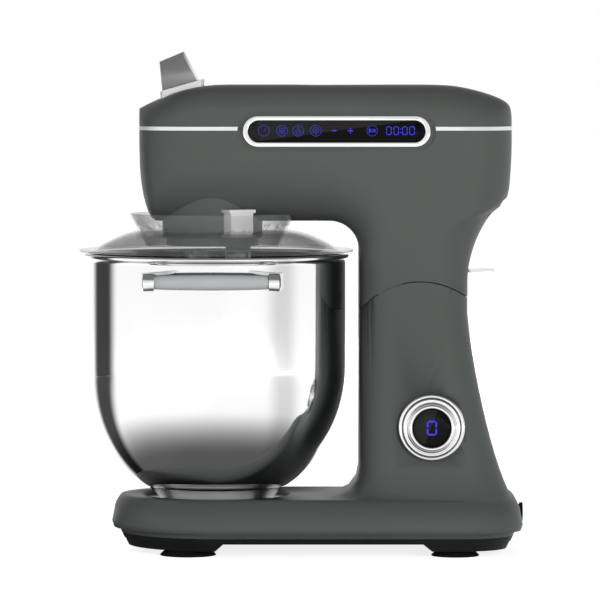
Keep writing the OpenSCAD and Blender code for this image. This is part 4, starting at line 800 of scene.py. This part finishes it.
# ---- Studio ----
# A pale floor in a white surround. Broad lamps stand by the camera, at the nose and at the far
# side, a weak one hangs overhead, and soft-edged dark cards show only in polished surfaces.
def where_seen(tree, rays, plain, seen):
    """A strength that is one value in plain lighting and another where these rays meet the surface."""
    path = tree.nodes.new("ShaderNodeLightPath")
    level = path.outputs[rays[0]]
    for name in rays[1:]:
        either = tree.nodes.new("ShaderNodeMath")
        either.operation = "MAXIMUM"
        tree.links.new(level, either.inputs[0])
        tree.links.new(path.outputs[name], either.inputs[1])
        level = either.outputs[0]
    direct = tree.nodes.new("ShaderNodeMath")
    direct.operation = "LESS_THAN"
    direct.inputs[1].default_value = 0.5
    tree.links.new(path.outputs["Diffuse Depth"], direct.inputs[0])
    both = tree.nodes.new("ShaderNodeMath")
    both.operation = "MULTIPLY"
    tree.links.new(level, both.inputs[0])
    tree.links.new(direct.outputs[0], both.inputs[1])
    share = tree.nodes.new("ShaderNodeMapRange")
    share.inputs["To Min"].default_value = plain
    share.inputs["To Max"].default_value = seen
    tree.links.new(both.outputs[0], share.inputs["Value"])
    return share.outputs["Result"]


def smooth_between(tree, value, low, high, first, last):
    ramp = tree.nodes.new("ShaderNodeMapRange")
    ramp.interpolation_type = "SMOOTHSTEP"
    for name, v in (("From Min", low), ("From Max", high), ("To Min", first), ("To Max", last)):
        ramp.inputs[name].default_value = v
    tree.links.new(value, ramp.inputs["Value"])
    return ramp.outputs["Result"]


def worked(tree, operation, a, b=None):
    step_node = tree.nodes.new("ShaderNodeMath")
    step_node.operation = operation
    for n, v in enumerate((a, b)):
        if isinstance(v, float):
            step_node.inputs[n].default_value = v
        elif v is not None:
            tree.links.new(v, step_node.inputs[n])
    return step_node.outputs[0]


# polished surfaces see painted shade on the floor: darker close to the base, a painted contact shadow, and darker along
# the bearings of the side cards
left_bearing, right_bearing = -117.0, 60.0
direct_rays = ("Is Camera Ray", "Is Glossy Ray", "Is Transmission Ray")
floor_paint = bpy.data.materials.new("studio_floor")
floor_paint.use_nodes = True
t = floor_paint.node_tree
p = t.nodes["Principled BSDF"]
place = t.nodes.new("ShaderNodeTexCoord")
axes = t.nodes.new("ShaderNodeSeparateXYZ")
t.links.new(place.outputs["Object"], axes.inputs["Vector"])
reach = t.nodes.new("ShaderNodeVectorMath")
reach.operation = "LENGTH"
t.links.new(place.outputs["Object"], reach.inputs[0])
# the bearing of a point on the floor, in radians round the bowl's axis, 0 towards the camera
bearing = worked(t, "ARCTAN2", axes.outputs["X"], worked(t, "MULTIPLY", axes.outputs["Y"], -1.0))
# painted contact shadow, seen only in reflections
near = smooth_between(t, reach.outputs["Value"], 0.13, 0.34, 0.10, 1.0)
off_left = worked(t, "ABSOLUTE", worked(t, "SUBTRACT", bearing, math.radians(left_bearing)))
off_right = worked(t, "ABSOLUTE", worked(t, "SUBTRACT", bearing, math.radians(right_bearing)))
lane = worked(t, "MAXIMUM", smooth_between(t, reach.outputs["Value"], 1.45, 1.6, 0.0, 1.0),
              worked(t, "MULTIPLY", smooth_between(t, off_left, 0.16, 0.42, 0.06, 1.0),
                     smooth_between(t, off_right, 0.05, 0.36, 0.68, 1.0)))
path = t.nodes.new("ShaderNodeLightPath")
shown = worked(t, "SUBTRACT", 1.0, worked(t, "MULTIPLY", path.outputs["Is Glossy Ray"],
                                        worked(t, "SUBTRACT", 1.0, worked(t, "MULTIPLY", near, lane))))
tone = t.nodes.new("ShaderNodeCombineColor")
for channel in ("Red", "Green", "Blue"):
    t.links.new(worked(t, "MULTIPLY", shown, 0.87), tone.inputs[channel])
t.links.new(tone.outputs["Color"], p.inputs["Base Color"])
p.inputs["Roughness"].default_value = 0.9
p.inputs["Specular IOR Level"].default_value = 0.0
p.inputs["Emission Color"].default_value = (1, 1, 1, 1)
glow_level = smooth_between(t, reach.outputs["Value"], 0.4, 2.5, 0.82, 1.0)
t.links.new(worked(t, "MULTIPLY", worked(t, "MULTIPLY", shown, glow_level),
                   where_seen(t, direct_rays, 0.0, 1.0)),
            p.inputs["Emission Strength"])
bpy.ops.mesh.primitive_plane_add(size=40, location=(0, 0, 0))
floor = bpy.context.object
floor.name = "studio_floor"
floor.data.materials.append(floor_paint)

world = bpy.data.worlds.new("studio_white")
bpy.context.scene.world = world
world.use_nodes = True
t = world.node_tree
back = t.nodes["Background"]
back.inputs["Color"].default_value = (1, 1, 1, 1)
place = t.nodes.new("ShaderNodeTexCoord")
axes = t.nodes.new("ShaderNodeSeparateXYZ")
t.links.new(place.outputs["Generated"], axes.inputs["Vector"])
path = t.nodes.new("ShaderNodeLightPath")
sky = worked(t, "MAXIMUM", smooth_between(t, axes.outputs["Z"], 0.25, 0.75, 1.0, 0.2),
             worked(t, "SUBTRACT", 1.0, path.outputs["Is Glossy Ray"]))
t.links.new(worked(t, "MULTIPLY", sky, where_seen(t, direct_rays, 0.10, 1.0)), back.inputs["Strength"])


def soft_card(name, bearing, away, width, low, high, dark, edge):
    """An upright card facing the mixer, black in the middle and fading out to both sides."""
    m = bpy.data.materials.new(name)
    m.use_nodes = True
    t = m.node_tree
    t.nodes.remove(t.nodes["Principled BSDF"])
    place = t.nodes.new("ShaderNodeTexCoord")
    axes = t.nodes.new("ShaderNodeSeparateXYZ")
    t.links.new(place.outputs["Object"], axes.inputs["Vector"])
    side = t.nodes.new("ShaderNodeMath")
    side.operation = "ABSOLUTE"
    t.links.new(axes.outputs["Y"], side.inputs[0])
    fade = t.nodes.new("ShaderNodeMapRange")
    fade.interpolation_type = "SMOOTHSTEP"
    fade.inputs["From Min"].default_value = width / 2 - edge
    fade.inputs["From Max"].default_value = width / 2
    fade.inputs["To Min"].default_value = dark
    fade.inputs["To Max"].default_value = 0.0
    t.links.new(side.outputs[0], fade.inputs["Value"])
    clear_part = t.nodes.new("ShaderNodeBsdfTransparent")
    black_part = t.nodes.new("ShaderNodeEmission")
    black_part.inputs["Color"].default_value = (0, 0, 0, 1)
    mix = t.nodes.new("ShaderNodeMixShader")
    t.links.new(fade.outputs["Result"], mix.inputs[0])
    t.links.new(clear_part.outputs[0], mix.inputs[1])
    t.links.new(black_part.outputs[0], mix.inputs[2])
    t.links.new(mix.outputs[0], t.nodes["Material Output"].inputs["Surface"])
    a = math.radians(bearing)
    bpy.ops.mesh.primitive_plane_add(size=1, location=(0, 0, 0))
    card = bpy.context.object
    card.name = name
    card.data.transform(Matrix.Diagonal((high - low, width, 1, 1)))
    card.data.transform(Matrix.Rotation(math.radians(90), 4, "Y"))
    card.location = (math.sin(a) * away, -math.cos(a) * away, (low + high) / 2)
    card.rotation_euler = (0, 0, math.atan2(math.cos(a), -math.sin(a)))
    card.data.materials.append(m)
    card.visible_camera = card.visible_diffuse = card.visible_transmission = card.visible_shadow = False
    return card


cards = [soft_card("left_card", left_bearing, 1.5, 1.25, 0.0, 2.0, 0.95, 0.38),
         soft_card("right_card", right_bearing, 2.2, 1.6, 0.0, 2.2, 0.30, 0.7)]


def soft_lamp(name, power, size, at, towards):
    bpy.ops.object.light_add(type="AREA", location=at)
    lamp = bpy.context.object
    lamp.name = name
    lamp.data.energy = power
    lamp.data.shape = "RECTANGLE"
    lamp.data.size, lamp.data.size_y = size
    lamp.rotation_euler = (Vector(towards) - Vector(at)).to_track_quat("-Z", "Y").to_euler()
    lamp.visible_camera = False
    return lamp


lamps = [soft_lamp("camera_side", 68, (1.6, 1.2), (1.1, -3.0, 0.6), (0.08, 0, 0.25)),
         soft_lamp("nose_side", 20, (1.0, 1.4), (-2.8, -1.3, 0.9), (0.0, 0, 0.35)),
         soft_lamp("far_side", 45, (2.0, 1.4), (-0.3, 3.2, 0.9), (0.08, 0, 0.25)),
         soft_lamp("overhead", 2, (2.0, 1.4), (-0.2, -0.2, 2.2), (0.08, 0, 0.25))]
for lamp in lamps:
    lamp.visible_glossy = False

bpy.ops.object.camera_add()
camera = bpy.context.object
camera.name = "studio_camera"
aim = Vector((0.0735, 0, 0.2196))
rise, away, picture_width = math.radians(2.75), 4.4, 0.528
camera.location = aim + Vector((0, -math.cos(rise), math.sin(rise))) * away
camera.rotation_euler = (aim - camera.location).to_track_quat("-Z", "Y").to_euler()
camera.data.sensor_width = 36
camera.data.lens = camera.data.sensor_width * away / picture_width
camera.data.clip_end = 60
bpy.context.scene.camera = camera
bpy.context.scene.view_settings.view_transform = "Standard"
